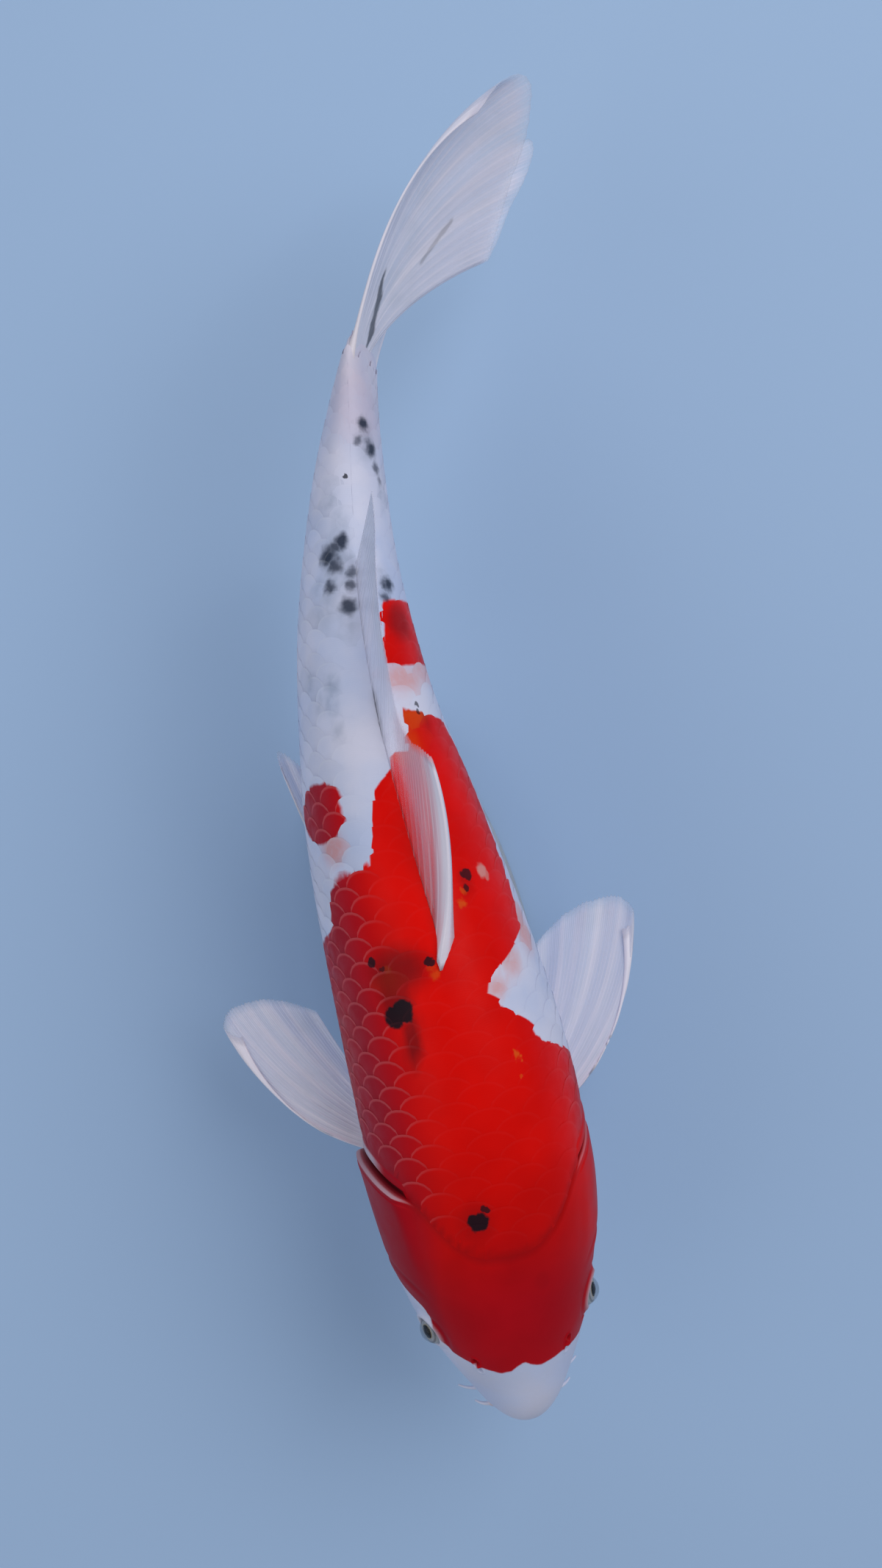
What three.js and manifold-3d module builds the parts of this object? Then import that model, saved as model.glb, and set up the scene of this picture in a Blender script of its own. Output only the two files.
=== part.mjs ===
// A koi carp, swimming level and held over a flat base by two short rods.
// Millimetres, +Z up. The snout points to -Y, the left side of the fish to +X, the floor is z = 0,
// and the origin is the middle of the underside of the base.
import * as THREE from "three";
import { mergeVertices } from "three/addons/utils/BufferGeometryUtils.js";
import Module from "manifold-3d";

const wasm = await Module();
wasm.setup();

// ---- Driving sizes ----------------------------------------------------------------------------

// The overall length, with the tail fin, is 550. Distances along the body are from the snout.
const FIRST_RING = 0.25; // small flat at the very tip of the snout
const TRUNK_DIVISION = 205; // at the pelvic fins
const STOCK_DIVISION = 300; // where the tail stock begins
const STOCK_END = 434; // rounded rear end of the tail stock, inside the tail fin
const SWIM_HEIGHT = 118; // middle line of the body above the floor
const SNOUT = { x: 39.8, y: -179.3 };
const GAP = 0.3; // between neighbouring solids

// Course of the middle line in plan: [distance from the snout, degrees from +Y towards +X].
const HEADING = [
  [0, -11.5], [45, -13], [90, -10], [120, -11.4], [150, -14.5], [205, -16],
  [250, -14.5], [300, -9], [350, -2], [395, 4], [434, 11],
];

// Lean of the back towards +X, in degrees: the trunk rolls one way and the tail twists the other.
const ROLL = [[0, 6], [350, 6], [390, 2], [424, -8], [434, -10]];

// Sections of the body: [distance from the snout, half width, back, belly, level of the half width].
const SECTIONS = [
  [0, 0, -15, -15, -15],
  [10, 14.4, 3.5, -28.5, -14],
  [20, 20.2, 11.5, -33.5, -12],
  [32, 26.5, 20, -37, -10],
  [45, 32.3, 28, -41, -8],
  [62, 37.8, 37, -45.5, -7],
  [82, 42.2, 46.5, -50, -6],
  [104, 43.8, 54, -54, -5],
  [150, 42.8, 62, -59, -3],
  [180, 41, 63, -59.5, -2],
  [215, 38, 61, -57.5, -1],
  [250, 33.8, 56, -52.5, 0],
  [285, 27.8, 48.5, -44.5, 0],
  [320, 22.8, 39.5, -35, 0],
  [352, 18, 32, -28.5, 0],
  [385, 13.5, 26.5, -25, 0],
  [410, 9.1, 25.2, -24.6, 0],
  [424, 5.5, 26, -25.4, 0],
  [431, 3.2, 24.6, -24, 0],
  [434, 0.8, 21, -20.5, 0],
];
const SECTION_FULLNESS = 0.93; // below 1 the section is squarer than an ellipse

// Edge where the scales begin: [degrees from the back, distance from the snout].
const NAPE = [[0, 77], [25, 82], [55, 108], [110, 114], [150, 96], [180, 84]];

const EYE = { along: 49, across: 29.4, up: 4, radius: 6.4 };

// The lips run as soft rolls from one corner of the mouth round the snout to the other.
const MOUTH = { level: -17, drop: 6, depth: 15, halfWidth: 11, widening: 0.32 };
const LIPS = {
  upper: { front: 1.9, down: 0, frontDown: 0, radius: 2.6 },
  lower: { front: 3.3, down: 3.1, frontDown: 0.8, radius: 2.1 },
  corner: 1.5,
};
const BARBELS = {
  short: { along: 9, across: 13.2, up: -17, reach: 6.5 },
  long: { along: 15, across: 15.7, up: -22, reach: 9 },
  root: 1.3, tip: 0.45, droop: 0.55,
};

// Gill covers, between two angles from the back: the plate narrows towards its upper and lower end.
const GILL_COVER = {
  top: 48, bottom: 152, front: 60, rear: 119, topSlant: 17, bottomSlant: 34, frontSlant: 12,
  plate: 2.4, proud: 0.5, flare: { left: -0.3, right: 3.3 },
};

// Paired fins: where the base lies [along, across, up], the lengths of the rays by share of the
// base, and the angle at which the first and last ray leave the body and turn back.
const PECTORAL = {
  base: { from: [112, 33, -32], to: [127, 29, -40] },
  rays: [[0, 84], [0.1, 90], [0.25, 90], [0.6, 79], [1, 54]],
  leadOut: 66, rearOut: 22, leadTurn: -62, rearTurn: -8,
  left: { out: -3, droop: 3, stretch: 1.06 }, right: { out: 6, droop: 8, stretch: 0.97 },
};
const PELVIC = {
  base: { from: [201, 19, -50], to: [210, 10, -54.5] },
  rays: [[0, 76], [0.15, 81], [0.5, 70], [1, 48]],
  leadOut: 12, rearOut: 3, leadTurn: -12, rearTurn: -3,
  left: { out: 0, droop: 12, stretch: 1 }, right: { out: 5, droop: 8, stretch: 1.05 },
};
const DORSAL = {
  from: 188, to: 342, rays: [[0, 85], [0.1, 74], [0.2, 62], [0.35, 53], [0.6, 45], [1, 38]],
  rise: [[0, 26], [0.14, 28.5], [0.35, 35], [1, 46]], foot: [[0, 46], [0.16, 17], [0.35, 8], [1, 12]],
  tip: [[0, 18], [0.16, 14], [0.35, 8], [1, 13]],
};
const ANAL = { from: 322, to: 350, front: 56, rear: 26, fall: [56, 34] };
const TAIL = {
  root: 421, halfBase: 23.5, start: 6, spread: 15,
  rays: [[0, 70], [0.25, 94], [0.5, 121], [0.7, 132], [0.85, 127], [0.95, 116], [1, 107]],
  turn: [54, 49], ease: [0.6, 2.2], // at the fork and at the leading edge
};
const FIN_ROOT = 1.5; // thickness of a fin at its base
const FIN_EDGE = 0.6; // and at its margin

const BASE = { length: 214, width: 86, thick: 14, rim: 3, turn: 15 };
const RODS = { front: 140, rear: 248, radius: 4.5, overlap: 12 };

// ---- Small maths ------------------------------------------------------------------------------

const rad = THREE.MathUtils.degToRad;
const mix = THREE.MathUtils.lerp;
const LEFT = 1;
const RIGHT = -1;

/** Smooth curve through [x, value] knots that never overshoots them. */
function curve(knots, x) {
  const slope = knots.slice(1).map(([a, b], i) => (b - knots[i][1]) / (a - knots[i][0]));
  const tangent = (i) => {
    const before = slope[Math.max(i - 1, 0)];
    const after = slope[Math.min(i, slope.length - 1)];
    return before * after <= 0 ? 0 : (2 * before * after) / (before + after);
  };
  const at = THREE.MathUtils.clamp(x, knots[0][0], knots.at(-1)[0]);
  const i = Math.max(knots.findIndex(([a]) => a >= at), 1) - 1;
  const width = knots[i + 1][0] - knots[i][0];
  const t = (at - knots[i][0]) / width;
  return (
    (1 + 2 * t) * (1 - t) ** 2 * knots[i][1] +
    t * (1 - t) ** 2 * width * tangent(i) +
    t * t * (3 - 2 * t) * knots[i + 1][1] +
    t * t * (t - 1) * width * tangent(i + 1)
  );
}

/** Sine or cosine, drawn out to a squarer wave. */
const full = (value) => Math.sign(value) * Math.abs(value) ** SECTION_FULLNESS;

/** End of an arc of unit length that sets off at an angle and turns evenly: [across, along]. */
function arc(angle, turn, share) {
  const start = rad(angle);
  const bend = rad(turn) || 1e-6;
  return [
    (Math.cos(start) - Math.cos(start + bend * share)) / bend,
    (Math.sin(start + bend * share) - Math.sin(start)) / bend,
  ];
}

// ---- The body's own frame ---------------------------------------------------------------------

const spine = [new THREE.Vector2(SNOUT.x, SNOUT.y)];
for (let s = 0.5; s < STOCK_END; s += 1) {
  const angle = rad(curve(HEADING, s));
  const last = spine.at(-1);
  spine.push(new THREE.Vector2(last.x + Math.sin(angle), last.y + Math.cos(angle)));
}

/** Centre, rearward, leftward and upward directions of the body at a distance from the snout. */
function frameAt(s) {
  const angle = rad(curve(HEADING, s));
  const back = new THREE.Vector3(Math.sin(angle), Math.cos(angle), 0);
  const flat = new THREE.Vector3(Math.cos(angle), -Math.sin(angle), 0);
  const roll = rad(curve(ROLL, s));
  const left = flat.clone().multiplyScalar(Math.cos(roll)).setZ(-Math.sin(roll));
  const up = flat.clone().multiplyScalar(Math.sin(roll)).setZ(Math.cos(roll));
  const i = THREE.MathUtils.clamp(Math.floor(s), 0, spine.length - 2);
  const place = spine[i].clone().lerp(spine[i + 1], s - i);
  return { centre: new THREE.Vector3(place.x, place.y, SWIM_HEIGHT), back, left, up };
}

/** Point of the body's frame: so far from the snout, to the left and up. */
function place(s, across, up) {
  const frame = frameAt(s);
  return frame.centre.addScaledVector(frame.left, across).addScaledVector(frame.up, up);
}

/** One column of the sections at a distance from the snout, drawn out for a rounded nose. */
function section(column, s) {
  const knots = SECTIONS.map((row) => [Math.sqrt(row[0]), row[column]]);
  return curve(knots, Math.sqrt(Math.max(s, 0)));
}

/** Point of the skin: degrees run from the back over the left side to the belly. */
function skin(s, degrees, grow = 0) {
  const [width, top, bottom, level] = [1, 2, 3, 4].map((column) => section(column, s));
  const angle = rad(degrees);
  const across = full(Math.sin(angle));
  const rise = full(Math.cos(angle));
  const reach = rise > 0 ? top - level : level - bottom;
  return place(s, (width + grow) * across, level + (reach + grow) * rise);
}

// ---- Solids -----------------------------------------------------------------------------------

/** Closed geometry from points and triangles, with its faces turned outwards. */
function closed(points, faces) {
  let volume = 0;
  for (const [a, b, c] of faces) {
    volume += points[a].dot(new THREE.Vector3().crossVectors(points[b], points[c]));
  }
  const outward = volume < 0 ? faces.map(([a, b, c]) => [a, c, b]) : faces;
  const geometry = new THREE.BufferGeometry().setFromPoints(points);
  geometry.setIndex(outward.flat());
  return geometry;
}

/** Skin stretched over rings of like count, closed at each end by a fan. */
function loft(rings) {
  const points = rings.flat();
  const count = rings[0].length;
  const faces = [];
  for (let r = 0; r + 1 < rings.length; r += 1) {
    for (let i = 0; i < count; i += 1) {
      const a = r * count + i;
      const b = r * count + ((i + 1) % count);
      faces.push([a, b, b + count], [a, b + count, a + count]);
    }
  }
  const fan = (ring, start, flip) => {
    const middle = ring.reduce((sum, p) => sum.add(p), new THREE.Vector3()).divideScalar(count);
    points.push(middle);
    for (let i = 0; i < count; i += 1) {
      const pair = [start + i, start + ((i + 1) % count)];
      faces.push([points.length - 1, ...(flip ? pair.reverse() : pair)]);
    }
  };
  fan(rings[0], 0, true);
  fan(rings.at(-1), (rings.length - 1) * count, false);
  return closed(points, faces);
}

/** Plate between two grids of like size, with its edge closed all round. */
function plate(front, back) {
  const rows = front.length;
  const columns = front[0].length;
  const points = [...front.flat(), ...back.flat()];
  const under = rows * columns;
  const faces = [];
  for (let r = 0; r + 1 < rows; r += 1) {
    for (let c = 0; c + 1 < columns; c += 1) {
      const a = r * columns + c;
      const b = a + columns;
      faces.push([a, a + 1, b + 1], [a, b + 1, b]);
      faces.push([under + a, under + b + 1, under + a + 1], [under + a, under + b, under + b + 1]);
    }
  }
  const rim = [];
  for (let c = 0; c + 1 < columns; c += 1) rim.push(c);
  for (let r = 0; r + 1 < rows; r += 1) rim.push(r * columns + columns - 1);
  for (let c = columns - 1; c > 0; c -= 1) rim.push((rows - 1) * columns + c);
  for (let r = rows - 1; r > 0; r -= 1) rim.push(r * columns);
  rim.forEach((a, i) => {
    const b = rim[(i + 1) % rim.length];
    faces.push([a, under + a, under + b], [a, under + b, b]);
  });
  return closed(points, faces);
}

/** Grid of points from a function of two shares. */
function grid(rows, columns, point) {
  return Array.from({ length: rows + 1 }, (_, r) =>
    Array.from({ length: columns + 1 }, (__, c) => point(r / rows, c / columns)));
}

function toSolid(geometry) {
  if (geometry instanceof wasm.Manifold) return geometry;
  const bare = geometry.clone();
  bare.deleteAttribute("normal");
  bare.deleteAttribute("uv");
  const merged = mergeVertices(bare, 1e-4);
  return new wasm.Manifold(new wasm.Mesh({
    numProp: 3,
    vertProperties: Float32Array.from(merged.attributes.position.array),
    triVerts: Uint32Array.from(merged.index.array),
  }));
}

function toGeometry(solid) {
  const mesh = solid.getMesh();
  const geometry = new THREE.BufferGeometry();
  geometry.setAttribute("position", new THREE.BufferAttribute(mesh.vertProperties, 3));
  geometry.setIndex(new THREE.BufferAttribute(mesh.triVerts, 1));
  return geometry;
}

/** One geometry less the others, without the crumbs that a cut may leave. */
function cut(geometry, ...tools) {
  const rest = tools.reduce((solid, tool) => solid.subtract(toSolid(tool)), toSolid(geometry));
  return toGeometry(rest.decompose().reduce((a, b) => (b.volume() > a.volume() ? b : a)));
}

// ---- Body -------------------------------------------------------------------------------------

const BODY_SIDES = 32;
const RINGS = { head: 12, front: 9, rear: 8, stock: 11 };
const SNOUT_CROWDING = 1.7; // draws the rings of the head together towards the snout

/** Edge between head and trunk, at an angle from the back. */
function nape(degrees) {
  return curve(NAPE, Math.abs(((degrees + 180) % 360) - 180));
}

/** A length of the body between two edges, each a distance or a function of the angle. */
function bodyLength(from, to, rings, grow, crowding = 1) {
  const edge = (value, degrees) => (typeof value === "function" ? value(degrees) : value);
  return loft(Array.from({ length: rings + 1 }, (_, r) =>
    Array.from({ length: BODY_SIDES }, (__, i) => {
      const degrees = (i * 360) / BODY_SIDES;
      const share = (r / rings) ** crowding;
      return skin(mix(edge(from, degrees), edge(to, degrees), share), degrees, grow);
    })));
}

/** The four lengths of the body. */
function bodyLengths(grow = 0, gap = GAP) {
  const half = gap / 2;
  const headEnd = (degrees) => nape(degrees) - half;
  const trunkStart = (degrees) => nape(degrees) + half;
  return {
    head: bodyLength(FIRST_RING, headEnd, RINGS.head, grow, SNOUT_CROWDING),
    trunk_front: bodyLength(trunkStart, TRUNK_DIVISION - half, RINGS.front, grow),
    trunk_rear: bodyLength(TRUNK_DIVISION + half, STOCK_DIVISION - half, RINGS.rear, grow),
    tail_stock: bodyLength(STOCK_DIVISION + half, STOCK_END, RINGS.stock, grow),
  };
}

/** The whole body a little swollen, to clear what grows from it. */
const bodyClearance = Object.values(bodyLengths(GAP, 0))
  .map(toSolid)
  .reduce((all, one) => all.add(one));

function eyeBall(side, grow = 0) {
  const ball = new THREE.SphereGeometry(EYE.radius + grow, 12, 8);
  const centre = place(EYE.along, side * EYE.across, EYE.up);
  return ball.translate(centre.x, centre.y, centre.z);
}

/** Gill cover: a curved plate over the cheek, its round rear edge standing a little open. */
function gillCover(side, inner, outer, margin = 0) {
  const form = GILL_COVER;
  const flare = side === LEFT ? form.flare.left : form.flare.right;
  const point = (grow) => (down, back) => {
    const degrees = mix(form.top - margin, form.bottom + margin, down);
    const away = (2 * down - 1) ** 2;
    const front = form.front - margin + form.frontSlant * away * down;
    const rear = form.rear + margin - mix(form.topSlant, form.bottomSlant, down) * away;
    return skin(mix(front, rear, back), side * degrees, grow + flare * back ** 3);
  };
  return plate(grid(8, 5, point(outer)), grid(8, 5, point(inner)));
}

/** Tapering tube along a run of points, with a radius for each share of its length. */
function taper(route, radius, steps, sides) {
  const path = new THREE.CatmullRomCurve3(route);
  const frames = path.computeFrenetFrames(steps, false);
  return loft(Array.from({ length: steps + 1 }, (_, i) => {
    const centre = path.getPointAt(i / steps);
    return Array.from({ length: sides }, (__, k) => {
      const angle = (2 * Math.PI * k) / sides;
      const reach = radius(i / steps);
      return centre.clone()
        .addScaledVector(frames.normals[i], reach * Math.cos(angle))
        .addScaledVector(frames.binormals[i], reach * Math.sin(angle));
    });
  }));
}

function lip(form, grow = 0) {
  const route = [];
  for (let degrees = -90; degrees <= 90; degrees += 22.5) {
    const forward = Math.cos(rad(degrees));
    const halfWidth = MOUTH.halfWidth * (1 + MOUTH.widening * (1 - forward));
    const drop = MOUTH.drop * (1 - forward) + form.down + form.frontDown * forward;
    const along = mix(MOUTH.depth, form.front, forward);
    route.push(place(along, halfWidth * Math.sin(rad(degrees)), MOUTH.level - drop));
  }
  const radius = (t) => mix(LIPS.corner, form.radius, Math.sin(Math.PI * t)) + grow;
  return taper(route, radius, 12, 7);
}

/** Barbel: a soft feeler that leaves the mouth sideways and droops back. */
function barbel(side, { along, across, up, reach }) {
  const route = [0, 0.35, 0.7, 1].map((t) =>
    place(along - 1.5 * t + 3 * t * t, side * (across + reach * t), up - BARBELS.droop * reach * t * t));
  return taper(route, (t) => mix(BARBELS.root, BARBELS.tip, t), 5, 6);
}

// ---- Fins -------------------------------------------------------------------------------------

/** Fin as a thin plate about ray(base share, ray share), thinning from its root to its margin. */
function fin(rows, columns, ray) {
  const thick = (v) => mix(FIN_ROOT, FIN_EDGE, Math.sqrt(v)) / 2;
  const point = (side) => (u, v) => {
    const step = 0.02;
    const alongBase = ray(Math.min(u + step, 1), v).sub(ray(Math.max(u - step, 0), v));
    const alongRay = ray(u, Math.min(v + step, 1)).sub(ray(u, Math.max(v - step, 0)));
    const out = alongBase.cross(alongRay).normalize();
    return ray(u, v).addScaledVector(out, side * thick(v));
  };
  return plate(grid(rows, columns, point(1)), grid(rows, columns, point(-1)));
}

/** Ray of a paired fin: it leaves the body outwards, then turns back and droops. */
function pairedRay(form, side) {
  const own = side === LEFT ? form.left : form.right;
  return (u, v) => {
    const [from, to] = [form.base.from, form.base.to];
    const root = place(mix(from[0], to[0], u), side * mix(from[1], to[1], u), mix(from[2], to[2], u));
    const { back, left } = frameAt(mix(from[0], to[0], u));
    const out = mix(form.leadOut, form.rearOut, u) + own.out;
    const [across, along] = arc(out, mix(form.leadTurn, form.rearTurn, u ** 0.6), v);
    const length = own.stretch * curve(form.rays, u);
    const droop = rad(own.droop);
    root.addScaledVector(left.setZ(0).normalize(), side * across * length * Math.cos(droop));
    root.addScaledVector(back, along * length * Math.cos(droop * 0.6));
    return root.setZ(root.z - length * v * Math.sin(droop) * Math.max(across, 0.2 * v));
  };
}

/** Dorsal fin, folded low: its long front rays trail back and lean to the left, most at the foot. */
function dorsalRay(u, v) {
  const s = mix(DORSAL.from, DORSAL.to, u);
  const length = curve(DORSAL.rays, u);
  const rise = rad(curve(DORSAL.rise, u));
  const lean = rad(mix(curve(DORSAL.foot, u), curve(DORSAL.tip, u), v ** 1.3));
  const reach = length * v;
  const lift = reach * Math.sin(rise);
  const top = section(2, s) - 2;
  const at = s + reach * Math.cos(rise);
  const sink = section(2, at) - section(2, s);
  return place(at, lift * Math.sin(lean), top + lift * Math.cos(lean) + 0.6 * sink * v);
}

/** Anal fin, hanging back from the belly. */
function analRay(u, v) {
  const s = mix(ANAL.from, ANAL.to, u);
  const length = mix(ANAL.front, ANAL.rear, Math.sqrt(u)) * v;
  const fall = rad(mix(...ANAL.fall, u));
  return place(s + length * Math.cos(fall), 3 * v * v, section(3, s) + 2 - length * Math.sin(fall));
}

/** Ray of the tail fin, w from 0 at the fork to 1 at the leading edge, swept round to the left. */
function tailRay(lobe) {
  const steps = 24;
  return (w, v) => {
    const point = place(TAIL.root, 0, lobe * (0.5 + TAIL.halfBase * w));
    const step = (curve(TAIL.rays, w) * v) / steps;
    const climb = rad(TAIL.spread) * lobe * w;
    const heading = curve(HEADING, TAIL.root) + TAIL.start;
    const turn = mix(...TAIL.turn, w);
    const ease = mix(...TAIL.ease, w);
    for (let i = 0; i < steps; i += 1) {
      const share = (v * (i + 0.5)) / steps;
      const angle = rad(heading + turn * share ** ease);
      point.x += step * Math.cos(climb) * Math.sin(angle);
      point.y += step * Math.cos(climb) * Math.cos(angle);
      point.z += step * Math.sin(climb);
    }
    return point;
  };
}

// ---- Stand ------------------------------------------------------------------------------------

/** Flat oval base with a rounded upper edge. */
function standBase() {
  const { length, width, thick, rim } = BASE;
  const half = length / 2;
  const outline = [[0, 0], [half, 0], [half, thick - rim]];
  for (const degrees of [30, 60, 90]) {
    outline.push([half - rim + rim * Math.cos(rad(degrees)), thick - rim + rim * Math.sin(rad(degrees))]);
  }
  outline.push([0, thick]);
  const disc = new THREE.LatheGeometry(outline.map(([x, y]) => new THREE.Vector2(x, y)), 32);
  return disc.rotateX(Math.PI / 2).scale(width / length, 1, 1).rotateZ(rad(BASE.turn));
}

/** Upright rod, its top hollowed to the belly that it carries. */
function standRod(s) {
  const foot = place(s, 0, section(3, s));
  const height = SWIM_HEIGHT + section(3, s) + RODS.overlap - BASE.thick - GAP;
  const rod = new THREE.CylinderGeometry(RODS.radius, RODS.radius, height, 20);
  rod.rotateX(Math.PI / 2).translate(foot.x, foot.y, BASE.thick + GAP + height / 2);
  return cut(rod, bodyClearance);
}

// ---- The koi ----------------------------------------------------------------------------------

const finish = (color, roughness, metalness = 0) =>
  new THREE.MeshStandardMaterial({ color, roughness, metalness });
const RED = finish(0xc0280c, 0.35);
const WHITE = finish(0xe8e6e2, 0.35);
const FIN = finish(0xdfe2e6, 0.4);
const DARK = finish(0x14110f, 0.15);
const STAND = finish(0xa2aab6, 0.4);
const STEEL = finish(0xa9adb0, 0.3, 1);

const koi = new THREE.Group();

function add(name, geometry, material) {
  const mesh = new THREE.Mesh(geometry, material);
  mesh.name = name;
  koi.add(mesh);
}

const SIDES = [["left", LEFT], ["right", RIGHT]];
const coverDepth = GILL_COVER.proud - GILL_COVER.plate;
const COVER_CLEARANCE = 12; // opens the seat of a gill cover to the outside
const covers = SIDES.map(([, side]) => gillCover(side, coverDepth - GAP, COVER_CLEARANCE, 0.4));
const lips = [LIPS.upper, LIPS.lower].map((form) => lip(form, GAP));
const sockets = SIDES.map(([, side]) => eyeBall(side, GAP));
const lengths = bodyLengths();

add("head", cut(lengths.head, ...covers, ...lips, ...sockets), RED);
add("upper_lip", lip(LIPS.upper), WHITE);
add("lower_lip", cut(lip(LIPS.lower), lips[0]), WHITE);
add("trunk_front", cut(lengths.trunk_front, ...covers), RED);
add("trunk_rear", lengths.trunk_rear, RED);
add("tail_stock", lengths.tail_stock, WHITE);

for (const [name, side] of SIDES) {
  add(`eye_${name}`, eyeBall(side), DARK);
  add(`gill_cover_${name}`, gillCover(side, coverDepth, GILL_COVER.proud), RED);
  add(`barbel_short_${name}`, cut(barbel(side, BARBELS.short), bodyClearance, ...lips), WHITE);
  add(`barbel_long_${name}`, cut(barbel(side, BARBELS.long), bodyClearance, ...lips), WHITE);
  add(`pectoral_fin_${name}`, cut(fin(10, 8, pairedRay(PECTORAL, side)), bodyClearance, ...covers), FIN);
  add(`pelvic_fin_${name}`, cut(fin(8, 7, pairedRay(PELVIC, side)), bodyClearance), FIN);
}

add("dorsal_fin", cut(fin(16, 5, dorsalRay), bodyClearance), FIN);
add("anal_fin", cut(fin(8, 6, analRay), bodyClearance), FIN);
add("tail_fin_upper", cut(fin(9, 10, tailRay(1)), bodyClearance), FIN);
add("tail_fin_lower", cut(fin(9, 10, tailRay(-1)), bodyClearance), FIN);

add("stand_base", standBase(), STAND);
add("stand_rod_front", standRod(RODS.front), STEEL);
add("stand_rod_rear", standRod(RODS.rear), STEEL);

export default koi;
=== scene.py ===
"""A koi carp in red, white and black, swimming level over a small display stand.

Sizes in the tables are millimetres and degrees; every finished mesh is in metres. The snout points
to -Y, the left side of the fish to +X, and the floor is z = 0.
"""

import math

import bpy
import numpy as np
from bpy.props import FloatProperty, FloatVectorProperty, IntProperty, PointerProperty
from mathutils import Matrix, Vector


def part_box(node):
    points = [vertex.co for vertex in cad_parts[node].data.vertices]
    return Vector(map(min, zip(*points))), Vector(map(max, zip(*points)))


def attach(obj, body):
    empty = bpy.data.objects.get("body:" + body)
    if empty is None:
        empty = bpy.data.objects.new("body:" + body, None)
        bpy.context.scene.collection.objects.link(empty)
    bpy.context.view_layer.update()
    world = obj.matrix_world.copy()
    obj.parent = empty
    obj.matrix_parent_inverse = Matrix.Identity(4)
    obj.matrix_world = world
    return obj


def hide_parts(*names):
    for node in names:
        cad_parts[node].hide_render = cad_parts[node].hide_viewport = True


bl_info = {
    "name": "Koi Carp on a Stand",
    "version": (1, 0, 0),
    "blender": (4, 5, 0),
    "location": "View3D > Sidebar > Koi",
    "description": "Dresses the koi carp: skin, scales, fins, eyes, barbels, stand and stage",
    "category": "Object",
}

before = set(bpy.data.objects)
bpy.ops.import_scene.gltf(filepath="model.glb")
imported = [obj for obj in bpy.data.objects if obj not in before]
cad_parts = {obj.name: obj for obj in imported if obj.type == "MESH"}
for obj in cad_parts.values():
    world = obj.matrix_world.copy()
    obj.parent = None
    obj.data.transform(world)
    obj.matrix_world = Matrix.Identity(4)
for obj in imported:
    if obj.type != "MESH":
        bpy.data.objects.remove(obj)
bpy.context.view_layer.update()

MM = 0.001
LEFT, RIGHT = 1, -1
SIDES = (("left", LEFT), ("right", RIGHT))

# ---- Sizes of the body, the same as the solids' ------------------------------------------------

STOCK_END = 434
SWIM_HEIGHT = 118
SNOUT = (39.8, -179.3)

# Course of the middle line in plan: (distance from the snout, degrees from +Y towards +X).
HEADING = [(0, -11.5), (45, -13), (90, -10), (120, -11.4), (150, -14.5), (205, -16),
           (250, -14.5), (300, -9), (350, -2), (395, 4), (434, 11)]
ROLL = [(0, 6), (350, 6), (390, 2), (424, -8), (434, -10)]

# Sections: (distance from the snout, half width, back, belly, level of the half width).
SECTIONS = [
    (0, 0, -15, -15, -15), (10, 14.4, 3.5, -28.5, -14), (20, 20.2, 11.5, -33.5, -12),
    (32, 26.5, 20, -37, -10), (45, 32.3, 28, -41, -8), (62, 37.8, 37, -45.5, -7),
    (82, 42.2, 46.5, -50, -6), (104, 43.8, 54, -54, -5), (150, 42.8, 62, -59, -3),
    (180, 41, 63, -59.5, -2), (215, 38, 61, -57.5, -1), (250, 33.8, 56, -52.5, 0),
    (285, 27.8, 48.5, -44.5, 0), (320, 22.8, 39.5, -35, 0), (352, 18, 32, -28.5, 0),
    (385, 13.5, 26.5, -25, 0), (410, 9.1, 25.2, -24.6, 0), (424, 5.5, 26, -25.4, 0),
    (431, 3.2, 24.6, -24, 0), (434, 0.8, 21, -20.5, 0),
]
SECTION_FULLNESS = 0.93

# Rear edge of head and gill covers: (degrees from the back, distance from the snout).
HEAD_EDGE = [(0, 76), (12, 77.5), (24, 83), (34, 92), (44, 102), (60, 109), (80, 116),
             (100, 119), (120, 114.5), (135, 105), (152, 86), (166, 77), (180, 75)]
EYE = {"along": 49, "across": 29.4, "up": 4, "radius": 6.4}
MOUTH = {"level": -17, "drop": 6, "depth": 15, "half_width": 11, "widening": 0.32}
LIPS = {
    "upper": {"front": 1.9, "down": 0, "front_down": 0, "radius": 2.6},
    "lower": {"front": 3.3, "down": 3.1, "front_down": 0.8, "radius": 2.1},
}
BARBELS = {
    "short": {"along": 9, "across": 13.2, "up": -17, "reach": 6.5},
    "long": {"along": 15, "across": 15.7, "up": -22, "reach": 9},
}
# Gill cover: angles from the back, distances from the snout and depths.
COVER = {"top": 48, "span": 104, "front": 60, "slant": 12,
         "border": 3.4, "slit": 2.2, "shoulder": 5.0}
COVER_FLARE = {LEFT: -0.3, RIGHT: 3.3}
CHEEK_RIDGE = {"at": 77, "bow": 15, "angle": 96, "half": 46}
# Nostrils ahead of an eye: (distance from the snout, depth, half width) of each pit.
NOSTRIL_ANGLE = 40
NOSTRIL_MM_PER_DEGREE = 0.62
NOSTRIL_PITS = ((31.0, -1.3, 1.25), (34.6, -1.5, 1.5))
NOSTRIL_FLAP = 32.9
# Round the axis of an eye: radii of the raised ring, the furrow outside it and the socket.
EYE_RING, EYE_FURROW, EYE_REACH, SOCKET_DEPTH = 6.9, 10.2, 14, 5.5

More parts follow.
